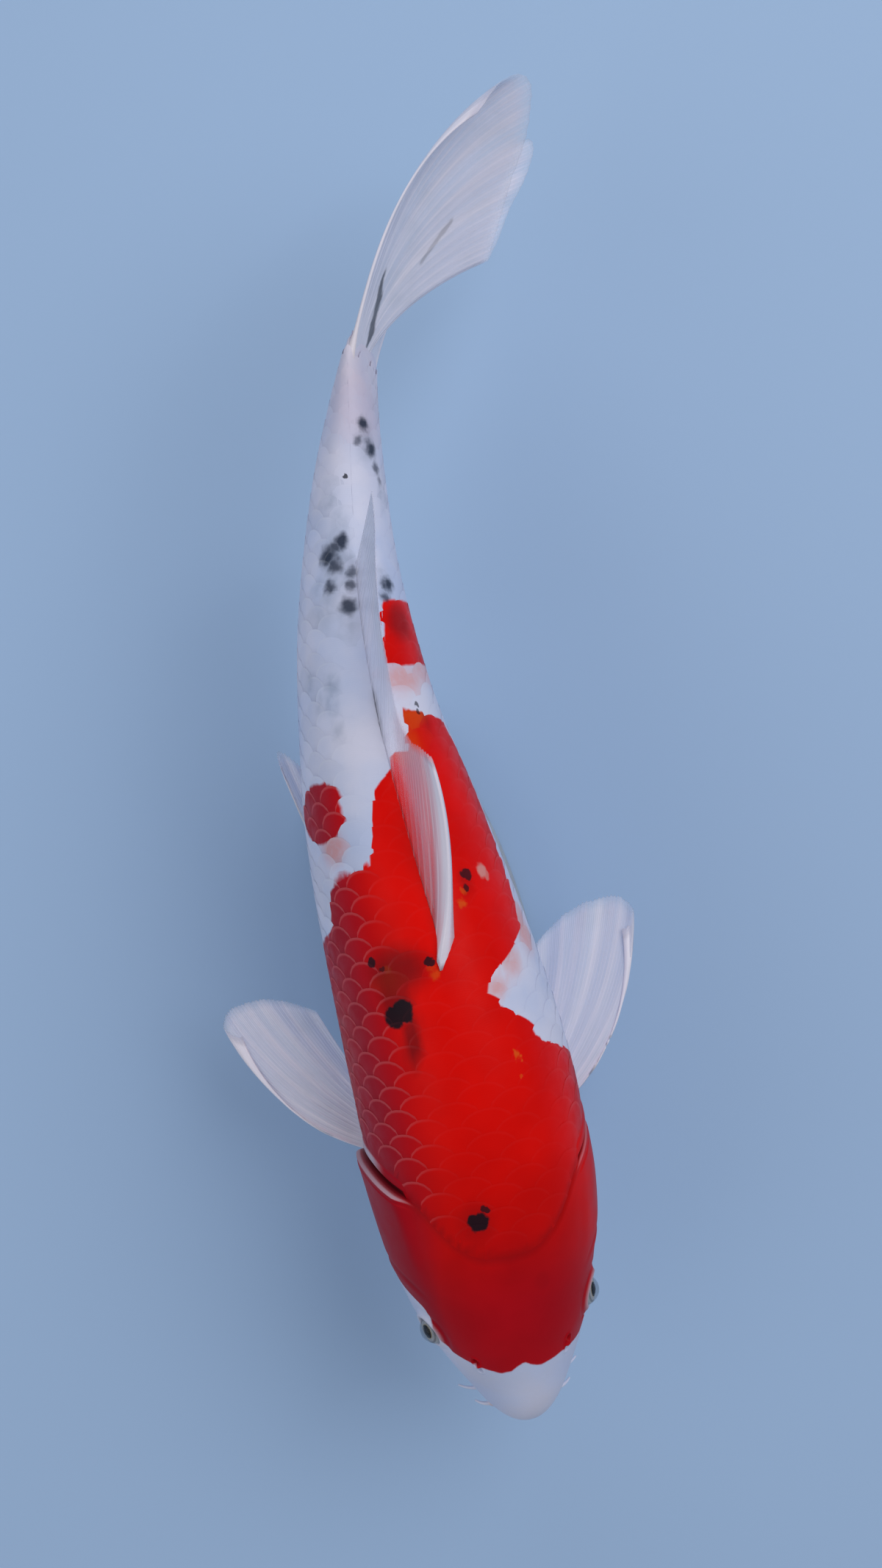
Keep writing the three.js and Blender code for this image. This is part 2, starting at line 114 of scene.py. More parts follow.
PECTORAL = {
    "from": (112, 33, -32), "to": (127, 29, -40),
    "rays": [(0, 84), (0.1, 90), (0.25, 90), (0.6, 79), (1, 54)],
    "out": (66, 22), "turn": (-62, -8),
    LEFT: {"out": -3, "droop": 3, "stretch": 1.06}, RIGHT: {"out": 6, "droop": 8, "stretch": 0.97},
}
PELVIC = {
    "from": (201, 19, -50), "to": (210, 10, -54.5),
    "rays": [(0, 76), (0.15, 81), (0.5, 70), (1, 48)],
    "out": (12, 3), "turn": (-12, -3),
    LEFT: {"out": 0, "droop": 12, "stretch": 1}, RIGHT: {"out": 5, "droop": 8, "stretch": 1.05},
}
DORSAL = {"from": 188, "to": 342, "rise": [(0, 26), (0.14, 28.5), (0.35, 35), (1, 46)],
          "rays": [(0, 85), (0.1, 74), (0.2, 62), (0.35, 53), (0.6, 45), (1, 38)],
          "foot": [(0, 46), (0.16, 17), (0.35, 8), (1, 12)],
          "tip": [(0, 18), (0.16, 14), (0.35, 8), (1, 13)]}
ANAL = {"from": 322, "to": 350, "length": (56, 26), "fall": (56, 34)}
TAIL = {"root": 421, "half_base": 23.5, "start": 6, "spread": 15,
        "rays": [(0, 70), (0.25, 94), (0.5, 121), (0.7, 132), (0.85, 127), (0.95, 116), (1, 107)],
        "turn": (54, 49), "ease": (0.6, 2.2)}

BASE = {"length": 214, "width": 86, "thick": 14, "turn": 15}
RODS = {"front": 140, "rear": 248}

# ---- Markings, in the body's own measures ------------------------------------------------------

# Front edge of the red, round the snout: (degrees from the back, distance from the snout).
RED_FRONT = [(-62, 41), (-50, 36), (-40, 33), (-28, 29.5), (-20, 28), (-13, 28), (-6, 30), (-1, 31),
             (5, 29), (12, 28), (24, 29), (36, 30.5), (50, 32), (66, 35), (80, 41)]
# Rear edge of the great red patch.
RED_REAR = [(-100, 202), (-93, 204), (-77, 208), (-63, 214), (-60, 226), (-47, 230.5), (-38, 231),
            (-23, 230), (-20.5, 238), (-16, 248), (-13.5, 256), (-6, 261), (0, 265), (3, 268.5),
            (15, 268), (17, 280), (19, 284), (32, 282), (60, 279), (76, 275), (100, 262)]
# Lower edge of the red on each flank: (distance from the snout, degrees from the back).
RED_LOWER = {
    LEFT: [(30, 58), (40, 68), (58, 78), (72, 94), (90, 108), (118, 110), (135, 90), (146, 62),
           (154, 40), (160, 34), (165, 27), (172, 20), (177, 15), (181, 20), (186, 31), (191, 47),
           (197, 57), (215, 64), (236, 70), (262, 73), (281, 62)],
    RIGHT: [(30, 50), (40, 60), (58, 62), (72, 92), (90, 110), (130, 114), (170, 104), (200, 96)],
}
REAR_PATCH = {"from": 302.5, "to": 329, "low": 112,
              "edge": [(300, 11), (306, 12.5), (316, 16), (329, 23)]}

# Marks: (distance, degrees, half length, half height, lean in degrees).
RED_SPOTS = [(254, -61, 10.5, 20, 0), (260, -47, 5, 6, 0)]
# Small round marks that may run together: (distance, degrees, radius, strength).
BLACK_DOTS = [
    (93.5, -11, 3.9, 1.0), (98, -7, 1.7, 0.9),  # nape
    (175.5, -32, 4.4, 1.0), (177, -27, 4.5, 1.0),  # shoulder
    (197, -38, 2.1, 0.95), (192, -7, 1.9, 0.95), (194, -33, 1.2, 0.7), (219, 25, 2.4, 0.9),
    (214, 22, 1.5, 0.85), (283, 33, 1.2, 0.8), (286, 33, 1.2, 0.8), (377, -8, 1.0, 0.9),
]
INK_DOTS = [
    (352, -15, 3.3, 0.95), (350, -24, 3.2, 0.85), (347, -32, 4.6, 0.95), (343, -23, 3.6, 0.85),
    (335, -29, 3.1, 0.85), (340, -5, 2.4, 0.75), (335, -6, 2.6, 0.8), (327, -10, 3.8, 0.9),
    (335, 35, 3.6, 0.95), (330, 27, 2.6, 0.8), (398, 26, 3.1, 0.95), (392, 13, 2.1, 0.7),
    (389, 38, 3.6, 0.95), (382, 44, 2.8, 0.75), (377, 50, 2.4, 0.55),
]
ORANGE_DOTS = [(209, 17, 1.8, 0.6), (213, 19, 1.3, 0.5), (151, 21, 1.7, 0.7), (149, 23, 1.1, 0.6),
               (188, -6, 2.2, 0.4), (143, 20, 0.9, 0.5), (193, -30, 1.8, 0.4)]
PALE_DOTS = [(218, 37, 2.9, 0.85), (216, 40, 1.8, 0.6)]
# Softer marks, with a strength as a sixth number.
SHADOWS = [
    (192, -24, 9, 16, 0, 0.85), (183, -29, 9, 9, 20, 0.85), (166, -25, 11, 4.6, 12, 1.0),
    (64, 16, 6, 5, 0, 0.3), (320, 40, 8, 9, 0, 0.75), (216, 23, 6, 3, 0, 0.5),
    (93, -12, 9, 9, 0, 0.5), (280, 38, 6, 3, 0, 0.4),
]
SLATE_SPOTS = [
    (302, -58, 4.2, 4.6, 0, 0.45), (299, -32, 4.4, 4.8, 0, 0.6), (291, -34, 4.4, 4.8, 0, 0.55),
    (281, -31, 4, 4.2, 0, 0.5), (293, -47, 3.8, 4.2, 0, 0.4), (370, -33, 6, 5, 0, 0.4),
    (330, -36, 12, 7, 0, 0.35), (359, -17, 6, 5, 0, 0.35), (392, 30, 9, 8, 0, 0.45),
    (336, 30, 7, 6, 0, 0.4), (345, -22, 11, 9, 0, 0.45), (322, -12, 9, 5, 0, 0.35),
    (372, 52, 8, 4, 0, 0.4),
]
PINK_SPOTS = [
    (241, -50, 7, 9, 0, 0.8), (297, 27, 6, 12, 0, 0.75), (300, 62, 6, 14, 0, 0.6),
    (192, 58, 10, 9, 0, 0.75), (184, 36, 6, 7, 0, 0.95), (176, 21, 4, 6, 0, 0.95),
    (252, 76, 20, 5, 0, 0.4), (276, 12, 8, 3, 0, 0.4), (405, 20, 16, 20, 0, 0.14),
]
ORANGE_SPOTS = [(272, 14, 8, 8, 0, 0.5), (282, 28, 4, 10, 0, 0.5), (190, -30, 5, 5, 0, 0.2)]
# Dark streaks on a fin's sheet, in shares across and along it: (from, to, width, strength).
DORSAL_STREAKS = [(0.5, 0.0, 0.66, 0.06, 0.03, 0.9)]
TAIL_STREAKS = [(0.5, 0.265, 0.63, 0.215, 0.04, 0.85), (0.63, 0.215, 0.84, 0.14, 0.06, 0.85),
                (0.73, 0.7, 0.8, 0.54, 0.022, 0.35)]


def mix(a, b, share):
    return a + (b - a) * share


def smooth(low, high, value):
    """0 below low, 1 above high, and an even ease between them."""
    t = np.clip((value - low) / (high - low), 0, 1)
    return t * t * (3 - 2 * t)


def swell(off, width):
    """1 at the middle, dying away evenly to both sides."""
    return np.exp(-(off / width) ** 2)


def curve(knots, x):
    """Smooth curve through (x, value) knots that never overshoots them."""
    xs, ys = np.array(knots, float).T
    slope = np.diff(ys) / np.diff(xs)
    before, after = np.r_[slope[0], slope], np.r_[slope, slope[-1]]
    flat = before * after <= 0
    tangent = np.where(flat, 0, 2 * before * after / np.where(flat, 1, before + after))
    x = np.clip(np.asarray(x, float), xs[0], xs[-1])
    i = np.clip(np.searchsorted(xs, x) - 1, 0, len(xs) - 2)
    width = xs[i + 1] - xs[i]
    t = (x - xs[i]) / width
    return ((1 + 2 * t) * (1 - t) ** 2 * ys[i] + t * (1 - t) ** 2 * width * tangent[i]
            + t * t * (3 - 2 * t) * ys[i + 1] + t * t * (t - 1) * width * tangent[i + 1])


def full(value):
    return np.sign(value) * np.abs(value) ** SECTION_FULLNESS


def arc(angle, turn, share):
    """End of an arc of unit length that sets off at an angle and turns evenly."""
    start, bend = np.radians(angle), np.radians(turn)
    bend = np.where(np.abs(bend) < 1e-6, 1e-6, bend)
    return ((np.cos(start) - np.cos(start + bend * share)) / bend,
            (np.sin(start + bend * share) - np.sin(start)) / bend)


def unit(vectors):
    return vectors / np.maximum(np.linalg.norm(vectors, axis=-1, keepdims=True), 1e-12)


# ---- The body's own frame ----------------------------------------------------------------------

_turns = np.radians(curve(HEADING, np.arange(STOCK_END) + 0.5))
SPINE = np.array(SNOUT) + np.r_[[(0, 0)], np.cumsum(np.c_[np.sin(_turns), np.cos(_turns)], axis=0)]


def frames(s):
    """Centre, rearward, leftward and upward directions at distances from the snout."""
    s = np.asarray(s, float)
    angle, roll = np.radians(curve(HEADING, s)), np.radians(curve(ROLL, s))
    back = np.stack([np.sin(angle), np.cos(angle), 0 * angle], -1)
    flat = np.stack([np.cos(angle), -np.sin(angle), 0 * angle], -1)
    rise = np.array([0.0, 0.0, 1.0])
    left = flat * np.cos(roll)[..., None] - rise * np.sin(roll)[..., None]
    up = flat * np.sin(roll)[..., None] + rise * np.cos(roll)[..., None]
    i = np.clip(np.floor(s).astype(int), 0, len(SPINE) - 2)
    part = (s - i)[..., None]
    plan = SPINE[i] * (1 - part) + SPINE[i + 1] * part
    centre = np.concatenate([plan, np.full(plan.shape[:-1] + (1,), float(SWIM_HEIGHT))], -1)
    return centre, back, left, up


def place(s, across, up):
    """Point so far from the snout, to the left and up, in the body's frame."""
    centre, _, left, rise = frames(s)
    return centre + left * np.asarray(across)[..., None] + rise * np.asarray(up)[..., None]


def section(column, s):
    knots = [(math.sqrt(row[0]), row[column]) for row in SECTIONS]
    return curve(knots, np.sqrt(np.maximum(s, 0)))


def body_point(s, degrees, grow=0.0):
    """Point of the body's surface: degrees run from the back over the left side to the belly."""
    s = np.asarray(s, float)
    width, top, bottom, level = (section(column, s) for column in (1, 2, 3, 4))
    across, rise = full(np.sin(np.radians(degrees))), full(np.cos(np.radians(degrees)))
    reach = np.where(rise > 0, top - level, level - bottom)
    return place(s, (width + grow) * across, level + (reach + grow) * rise)


def body_normal(s, degrees):
    s, degrees = np.asarray(s, float), np.asarray(degrees, float)
    behind, ahead = np.minimum(s + 0.4, STOCK_END), np.maximum(s - 0.4, 0)
    along = body_point(behind, degrees) - body_point(ahead, degrees)
    round_ = body_point(s, degrees + 0.8) - body_point(s, degrees - 0.8)
    return unit(np.cross(round_, along))


GIRTH_PARTS, RING_STEP = 90, 2.0
GIRTH_ANGLES = np.linspace(0, 180, GIRTH_PARTS + 1)
GIRTH_RINGS = np.arange(0, STOCK_END + 1, RING_STEP)
_net = body_point(GIRTH_RINGS[:, None], np.tile(GIRTH_ANGLES, (len(GIRTH_RINGS), 1)))
_arcs = np.cumsum(np.linalg.norm(np.diff(_net, axis=1), axis=2), axis=1)
HALF_GIRTHS = _arcs[:, -1]
_shares = np.linspace(0, 1, GIRTH_PARTS + 1)
ANGLE_AT_SHARE = np.array([
    np.interp(_shares, np.r_[0, ring] / max(ring[-1], 1e-6), GIRTH_ANGLES) for ring in _arcs])


def half_girth(s):
    """Length round the body from the back to the belly."""
    return np.interp(s, GIRTH_RINGS, HALF_GIRTHS)


def angle_at(s, length):
    """Degrees from the back at a length round the body, either side of the back."""
    share = np.abs(length) / np.maximum(half_girth(s), 1e-6)
    over = share > 1
    share = np.where(over, 2 - share, share)
    i = np.clip(np.asarray(s) / RING_STEP, 0, len(GIRTH_RINGS) - 1.001)
    j = np.clip(share, 0, 0.9999) * GIRTH_PARTS
    i0, j0 = i.astype(int), j.astype(int)
    di, dj = i - i0, j - j0
    a = ANGLE_AT_SHARE
    degrees = ((a[i0, j0] * (1 - dj) + a[i0, j0 + 1] * dj) * (1 - di)
               + (a[i0 + 1, j0] * (1 - dj) + a[i0 + 1, j0 + 1] * dj) * di)
    return np.sign(length) * np.where(over, 360 - degrees, degrees)


def head_edge(degrees):
    """Distance from the snout at which head and gill covers end, at an angle from the back."""
    return curve(HEAD_EDGE, np.abs((np.asarray(degrees, float) + 180) % 360 - 180))


def cover_share(degrees):
    """1 where the gill opening runs, fading out over the nape and under the throat."""
    angle = np.abs((np.asarray(degrees, float) + 180) % 360 - 180)
    return smooth(44, 54, angle) * (1 - smooth(156, 170, angle))


# ---- Markings ----------------------------------------------------------------------------------


def spot(s, degrees, mark):
    """How deep a point lies inside an oval mark, in millimetres; below 0 outside it."""
    at, angle, half_length, half_height, lean = mark[:5]
    x = s - at
    y = (degrees - angle) * half_girth(at) / 180
    turn = math.radians(lean)
    x, y = x * math.cos(turn) + y * math.sin(turn), y * math.cos(turn) - x * math.sin(turn)
    return (1 - np.hypot(x / half_length, y / half_height)) * min(half_length, half_height)


def markings(s, degrees):
    """Depth inside the red, and strengths of shadow, slate, pink, orange, flank and warmth."""
    degrees = (degrees + 180) % 360 - 180
    angle, round_mm = np.abs(degrees), half_girth(s) / 180
    lower = np.where(degrees > 0, curve(RED_LOWER[LEFT], s), curve(RED_LOWER[RIGHT], s))
    # Scalloped like the scales that end the colour.
    wave = 1.3 * np.sin(s * 0.66 + angle * 0.11) * smooth(110, 140, s)
    red = np.minimum.reduce([
        s - curve(RED_FRONT, degrees),
        curve(RED_REAR, degrees) - s + wave,
        (lower - angle) * round_mm + wave,
    ])
    inner = np.where(degrees > 0, (degrees - curve(REAR_PATCH["edge"], s)) * round_mm, -20)
    patch = np.minimum.reduce([s - REAR_PATCH["from"], REAR_PATCH["to"] - s, inner,
                               (REAR_PATCH["low"] - degrees) * round_mm])
    red = np.maximum.reduce([red, patch] + [spot(s, degrees, mark) for mark in RED_SPOTS])

    def soft(marks):
        return np.maximum.reduce([
            m[5] * smooth(-0.35, 0.55, spot(s, degrees, m) / min(m[2], m[3])) for m in marks])

    fields = {"red_depth": np.clip(red, -8, 8)}
    for name, marks in (("shadow", SHADOWS), ("slate", SLATE_SPOTS), ("pink", PINK_SPOTS),
                        ("orange", ORANGE_SPOTS)):
        fields[name] = soft(marks)
    # Painted shade darkening the red over the head.
    fields["shadow"] = np.maximum(fields["shadow"], 0.22 * (1 - smooth(60, 150, s)))
    # Painted shade: a soft dark line in the shallow furrow where head and nape meet.
    fold = 0.55 * swell(s - head_edge(degrees) - 1, 3.4) * (1 - cover_share(degrees))
    fields["shadow"] = np.maximum(fields["shadow"], fold)
    # Painted shade: the red darkens down the flanks, more on the right one, and over the head.
    fields["flank"] = np.maximum(smooth(22, 60, -degrees), 0.7 * smooth(45, 85, degrees))
    fields["flank"] = np.maximum(fields["flank"], 0.7 * (1 - smooth(50, 95, s)))
    # Warm blood tone where the flesh is thin, towards the tail and round the throat.
    fields["warmth"] = np.clip(0.25 * smooth(360, 430, s) + 0.2 * smooth(120, 175, angle), 0, 1)
    return fields


# ---- Meshes, as by hand ------------------------------------------------------------------------


def clear_selection():
    if bpy.context.mode != "OBJECT":
        bpy.ops.object.mode_set(mode="OBJECT")
    bpy.ops.object.select_all(action="DESELECT")


def pick(piece):
    """Selects this piece alone and makes it the active one."""
    clear_selection()
    piece.select_set(True)
    bpy.context.view_layer.objects.active = piece


def named(name):
    """The primitive just added, under its own name."""
    piece = bpy.context.active_object
    piece.name = piece.data.name = name
    return piece


def add_grid(name, columns, rows):
    """A unit sheet of columns by rows, to be laid over a form."""
    clear_selection()
    bpy.ops.mesh.primitive_grid_add(x_subdivisions=columns, y_subdivisions=rows, size=1)
    return named(name)


def shares(piece):
    """Each vertex's share across and along the unit sheet."""
    flat = np.zeros(len(piece.data.vertices) * 3)
    piece.data.vertices.foreach_get("co", flat)
    grid = flat.reshape(-1, 3)
    return grid[:, 0] + 0.5, grid[:, 1] + 0.5


def lay(piece, points):
    """Sets every vertex, from millimetres."""
    piece.data.vertices.foreach_set("co", (np.asarray(points) * MM).ravel())
    piece.data.update()


def store(piece, **fields):
    """Keeps one number per vertex under each name."""
    for name, values in fields.items():
        layer = piece.data.attributes.get(name) or piece.data.attributes.new(name, "FLOAT", "POINT")
        layer.data.foreach_set("value", np.asarray(values, np.float32).ravel())


def edit(piece, *steps):
    """Runs steps in edit mode on the whole piece."""
    pick(piece)
    bpy.ops.object.mode_set(mode="EDIT")
    bpy.ops.mesh.select_all(action="SELECT")
    for step in steps:
        step()
    bpy.ops.object.mode_set(mode="OBJECT")


def weld():
    bpy.ops.mesh.remove_doubles(threshold=0.00001)


def outward():
    bpy.ops.mesh.normals_make_consistent(inside=False)


def apply_modifier(piece, kind, **values):
    pick(piece)
    modifier = piece.modifiers.new(kind.title(), kind)
    for key, value in values.items():
        setattr(modifier, key, value)
    bpy.ops.object.modifier_apply(modifier=modifier.name)


def bevel(piece, width, segments):
    """Rounds the sharp edges."""
    apply_modifier(piece, "BEVEL", width=width, segments=segments, limit_method="ANGLE",
                   angle_limit=math.radians(60))


def apply_place(piece):
    pick(piece)
    bpy.ops.object.transform_apply(location=True, rotation=True, scale=True)


def join(name, pieces):
    clear_selection()
    for piece in pieces:
        piece.select_set(True)
    bpy.context.view_layer.objects.active = pieces[0]
    bpy.ops.object.join()
    return named(name)


def settle(piece, material, slot, *nodes, sharp=None):
    """Gives a finished piece its finish, its body and the solids that it stands for."""
    if len(piece.data.polygons) == 0:
        raise RuntimeError(f"{piece.name} came out empty")
    pick(piece)
    bpy.ops.object.shade_smooth()
    if sharp:
        bpy.ops.object.shade_smooth_by_angle(angle=math.radians(sharp))
    piece.data.materials.clear()
    piece.data.materials.append(material)
    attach(piece, "root")
    if nodes:
        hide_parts(*nodes)
    clear_selection()
    return piece


# ---- Material nodes ----------------------------------------------------------------------------


class Nodes:
    """Short hand for adding and joining shader nodes."""

    def __init__(self, tree):
        self.tree = tree

    def add(self, kind, inputs=None, **settings):
        node = self.tree.nodes.new(kind)
        for key, value in settings.items():
            setattr(node, key, value)
        for key, value in (inputs or {}).items():
            self.put(node.inputs[key], value)
        return node

    def put(self, socket, value):
        """Joins an output to a socket, or sets its own value; a colour may leave out alpha."""
        if isinstance(value, bpy.types.NodeSocket):
            self.tree.links.new(value, socket)
        elif socket.type == "RGBA":
            socket.default_value = (*value, 1.0)[:4]
        else:
            socket.default_value = value

    def math(self, operation, a, b=0.0, clamp=False):
        node = self.add("ShaderNodeMath", {0: a, 1: b}, operation=operation, use_clamp=clamp)
        return node.outputs[0]

    def plus(self, a, b, clamp=False):
        return self.math("ADD", a, b, clamp)

    def minus(self, a, b):
        return self.math("SUBTRACT", a, b)

    def times(self, a, b):
        return self.math("MULTIPLY", a, b)

    def off(self, value, middle):
        """How far a value lies from a middle one, either way."""
        return self.math("ABSOLUTE", self.minus(value, middle))

    def vector(self, operation, a, b):
        return self.add("ShaderNodeVectorMath", {0: a, 1: b}, operation=operation).outputs

    def ramp(self, value, low, high, out_low=0.0, out_high=1.0):
        node = self.add("ShaderNodeMapRange", {
            "Value": value, "From Min": low, "From Max": high,
            "To Min": out_low, "To Max": out_high}, interpolation_type="SMOOTHSTEP")
        return node.outputs[0]

    def blend(self, share, a, b, mode="MIX"):
        node = self.add("ShaderNodeMix", {0: share, 6: a, 7: b}, data_type="RGBA", blend_type=mode)
        return node.outputs[2]

    def noise(self, vector, scale, detail=2.0, rough=0.5):
        node = self.add("ShaderNodeTexNoise", {
            "Vector": vector, "Scale": scale, "Detail": detail, "Roughness": rough})
        return node.outputs[0]

    def field(self, name):
        return self.add("ShaderNodeAttribute", attribute_name=name).outputs["Fac"]

    def position(self):
        return self.add("ShaderNodeTexCoord").outputs["Object"]

    def group(self, tree, inputs):
        node = self.add("ShaderNodeGroup", node_tree=tree)
        for key, value in inputs.items():
            self.put(node.inputs[key], value)
        return node.outputs

    def bump(self, shader, strength, distance, height):
        node = self.add("ShaderNodeBump", {
            "Strength": strength, "Distance": distance, "Height": height})
        self.put(shader.inputs["Normal"], node.outputs[0])


def new_group(name, inputs, outputs):
    """An empty node group with named sockets: (name, kind, default)."""
    tree = bpy.data.node_groups.new(name, "ShaderNodeTree")
    add = tree.interface.new_socket
    for key, kind, default in inputs:
        socket = add(key, in_out="INPUT", socket_type=f"NodeSocket{kind}")
        if default is not None:
            socket.default_value = default
    for key, kind in outputs:
        add(key, in_out="OUTPUT", socket_type=f"NodeSocket{kind}")
    nodes = Nodes(tree)
    return tree, nodes, nodes.add("NodeGroupInput").outputs, nodes.add("NodeGroupOutput").inputs


def new_material(name, **constants):
    """A material with a bare Principled shader, and its constants on the shader's own sockets."""
    material = bpy.data.materials.new(name)
    material.use_nodes = True
    nodes = Nodes(material.node_tree)
    shader = material.node_tree.nodes["Principled BSDF"]
    for key, value in constants.items():
        shader.inputs[key.replace("_", " ")].default_value = value
    return material, nodes, shader


def built_once(name):
    """For a function that builds a node group: later calls give the first one's tree."""
    def wrap(build):
        return lambda *given: bpy.data.node_groups.get(name) or build(name, *given)
    return wrap


@built_once("Koi Pigment")
def pattern_group(name, settings):
    """Koi colours from the depths of the marks, broken up as pigment is, with painted shade on
    head, nape line and flanks.
    """
    tree, n, given, made = new_group(name, [
        ("Position", "Vector", None), ("Softness", "Float", 0.5), ("Wobble", "Float", 1.2),
    ], [("Colour", "Color"), ("Red Mask", "Float"), ("Black Mask", "Float")])
    where = given["Position"]
    coarse = n.noise(where, 90.0, 3.0)
    fine = n.noise(where, 420.0, 2.0)
    wobble = n.times(n.minus(coarse, 0.5), given["Wobble"])
    wobble = n.plus(wobble, n.times(n.minus(fine, 0.5), 0.5))
    soft = given["Softness"]
    low = n.times(soft, -1.0)
    red_mask = n.ramp(n.plus(n.field("red_depth"), wobble), low, soft)

    ragged = n.add("ShaderNodeTexNoise", {"Vector": where, "Scale": 270.0, "Detail": 2.0})
    ragged = n.vector("SUBTRACT", ragged.outputs["Color"], (0.5, 0.5, 0.5))[0]

    def dots(marks, inner, outer, uneven):
        """Mask of small ragged marks round points of the body's surface."""
        off = n.vector("MULTIPLY", ragged, (uneven, uneven, uneven))[0]
        at = n.vector("ADD", where, off)[0]
        mask = None
        for s, degrees, radius, strength in marks:
            gap = n.vector("DISTANCE", at, body_point(s, degrees) * MM)["Value"]
            near = n.ramp(gap, radius * inner * MM, radius * outer * MM, strength, 0.0)
            mask = near if mask is None else n.math("MAXIMUM", mask, near)
        return mask

    black_mask = dots(BLACK_DOTS, 0.85, 1.15, 0.004)
    red = n.blend(n.ramp(n.noise(where, 22.0, 3.0), 0.25, 0.7), settings.red_deep, settings.red)
    # Painted shade, with a bluish painted reflection, down the flanks and over the head.
    red = n.blend(n.times(n.field("flank"), 0.85), red, settings.red_flank_shade)
    red = n.blend(n.times(n.field("orange"), 0.9), red, settings.orange)
    red = n.blend(dots(ORANGE_DOTS, 0.4, 1.3, 0.006), red, settings.orange)
    # Darker red where black pigment lies under it, and painted shade over the head and along the
    # nape line.
    red = n.blend(n.times(n.field("shadow"), 0.8), red, settings.red_sumi_and_shade)
    white = n.ramp(n.noise(where, 30.0, 3.0), 0.3, 0.75)
    white = n.blend(white, settings.white, settings.white_cool)
    white = n.blend(n.field("warmth"), white, settings.flesh)
    patchy = n.times(n.field("slate"), n.ramp(n.noise(where, 160.0, 3.0), 0.3, 0.65, 0.35, 1.1))
    white = n.blend(patchy, white, settings.slate)
    flushed = n.times(n.field("pink"), n.ramp(fine, 0.1, 0.6, 0.7, 1.0))
    white = n.blend(flushed, white, settings.pink)
    body = n.blend(red_mask, white, red)
    body = n.blend(dots(PALE_DOTS, 0.6, 1.25, 0.003), body, settings.pink_pale)
    body = n.blend(dots(INK_DOTS, 0.3, 1.4, 0.0045), body, settings.ink)
    body = n.blend(n.times(black_mask, 0.97), body, settings.black)
    n.put(made["Colour"], body)
    n.put(made["Red Mask"], red_mask)
    n.put(made["Black Mask"], black_mask)
    return tree


@built_once("Skin Grain")
def grain_group(name):
    """Fine pores and slight unevenness of live skin, as a height."""
    tree, n, given, made = new_group(name, [
        ("Position", "Vector", None), ("Size", "Float", 1.0),
    ], [("Height", "Float"), ("Mottle", "Float")])
    size = given["Size"]
    pores = n.add("ShaderNodeTexVoronoi", {
        "Vector": given["Position"], "Scale": n.math("DIVIDE", 900.0, size)}).outputs["Distance"]
    soft = n.noise(given["Position"], n.math("DIVIDE", 260.0, size), 3.0)
    n.put(made["Height"], n.plus(n.times(n.ramp(pores, 0.0, 0.35), 0.35), soft))
    n.put(made["Mottle"], n.noise(given["Position"], n.math("DIVIDE", 60.0, size), 4.0))
    return tree


@built_once("Fin Rays")
def ray_group(name):
    """Branching fin rays over a fin's own sheet: a mask, and a height for the relief."""
    tree, n, given, made = new_group(name, [
        ("Sheet", "Vector", None), ("Count", "Float", 16.0),
    ], [("Ray", "Float"), ("Height", "Float"), ("Along", "Float"), ("Across", "Float")])
    axes = n.add("ShaderNodeSeparateXYZ", {0: given["Sheet"]}).outputs
    across, along = axes[0], axes[1]

    def ridge(times, width):
        between = n.math("FRACT", n.times(across, n.times(given["Count"], times)))
        return n.ramp(n.off(between, 0.5), 0.0, width, 1.0, 0.0)

    main, twin, fine = ridge(1.0, 0.17), ridge(2.0, 0.26), ridge(4.0, 0.34)
    fork = n.ramp(along, 0.34, 0.55)
    fork_again = n.ramp(along, 0.66, 0.86)
    ray = n.plus(n.times(main, n.minus(1.0, fork)), n.times(twin, fork))
    ray = n.plus(n.times(ray, n.minus(1.0, fork_again)), n.times(fine, fork_again), clamp=True)
    joints = n.ramp(n.off(n.math("FRACT", n.times(along, 46.0)), 0.5), 0.38, 0.5)
    n.put(made["Ray"], ray)
    n.put(made["Height"], n.minus(ray, n.times(n.times(joints, ray), 0.35)))
    n.put(made["Along"], along)
    n.put(made["Across"], across)
    return tree


def skin_material(settings):
    material, n, shader = new_material("Koi skin", Roughness=0.42, Coat_Weight=0.0,
                                       Coat_Roughness=0.25, Specular_IOR_Level=0.07)
    where = n.position()
    # Koi colours, with painted shade on head, nape line and flanks.
    pigment = n.group(pattern_group(settings), {"Position": where, "Softness": 0.45, "Wobble": 1.6})
    grain = n.group(grain_group(), {"Position": where, "Size": 1.0})
    tone = n.ramp(grain["Mottle"], 0.2, 0.8, 0.93, 1.05)
    shade = n.add("ShaderNodeHueSaturation", {"Value": tone, "Color": pigment["Colour"]})
    # Painted shade in folds, gill opening, mouth, nostril pits and round the eyes.
    folds = n.blend(n.times(n.field("crease"), 0.7), shade.outputs[0], settings.crease)
    rim = n.blend(n.times(n.field("rim"), 0.75), folds, settings.rim)
    n.put(shader.inputs["Base Color"], rim)
    n.put(shader.inputs["Roughness"], n.ramp(grain["Mottle"], 0.2, 0.8, 0.36, 0.5))
    n.bump(shader, 0.12, 0.0003, grain["Height"])
    return material


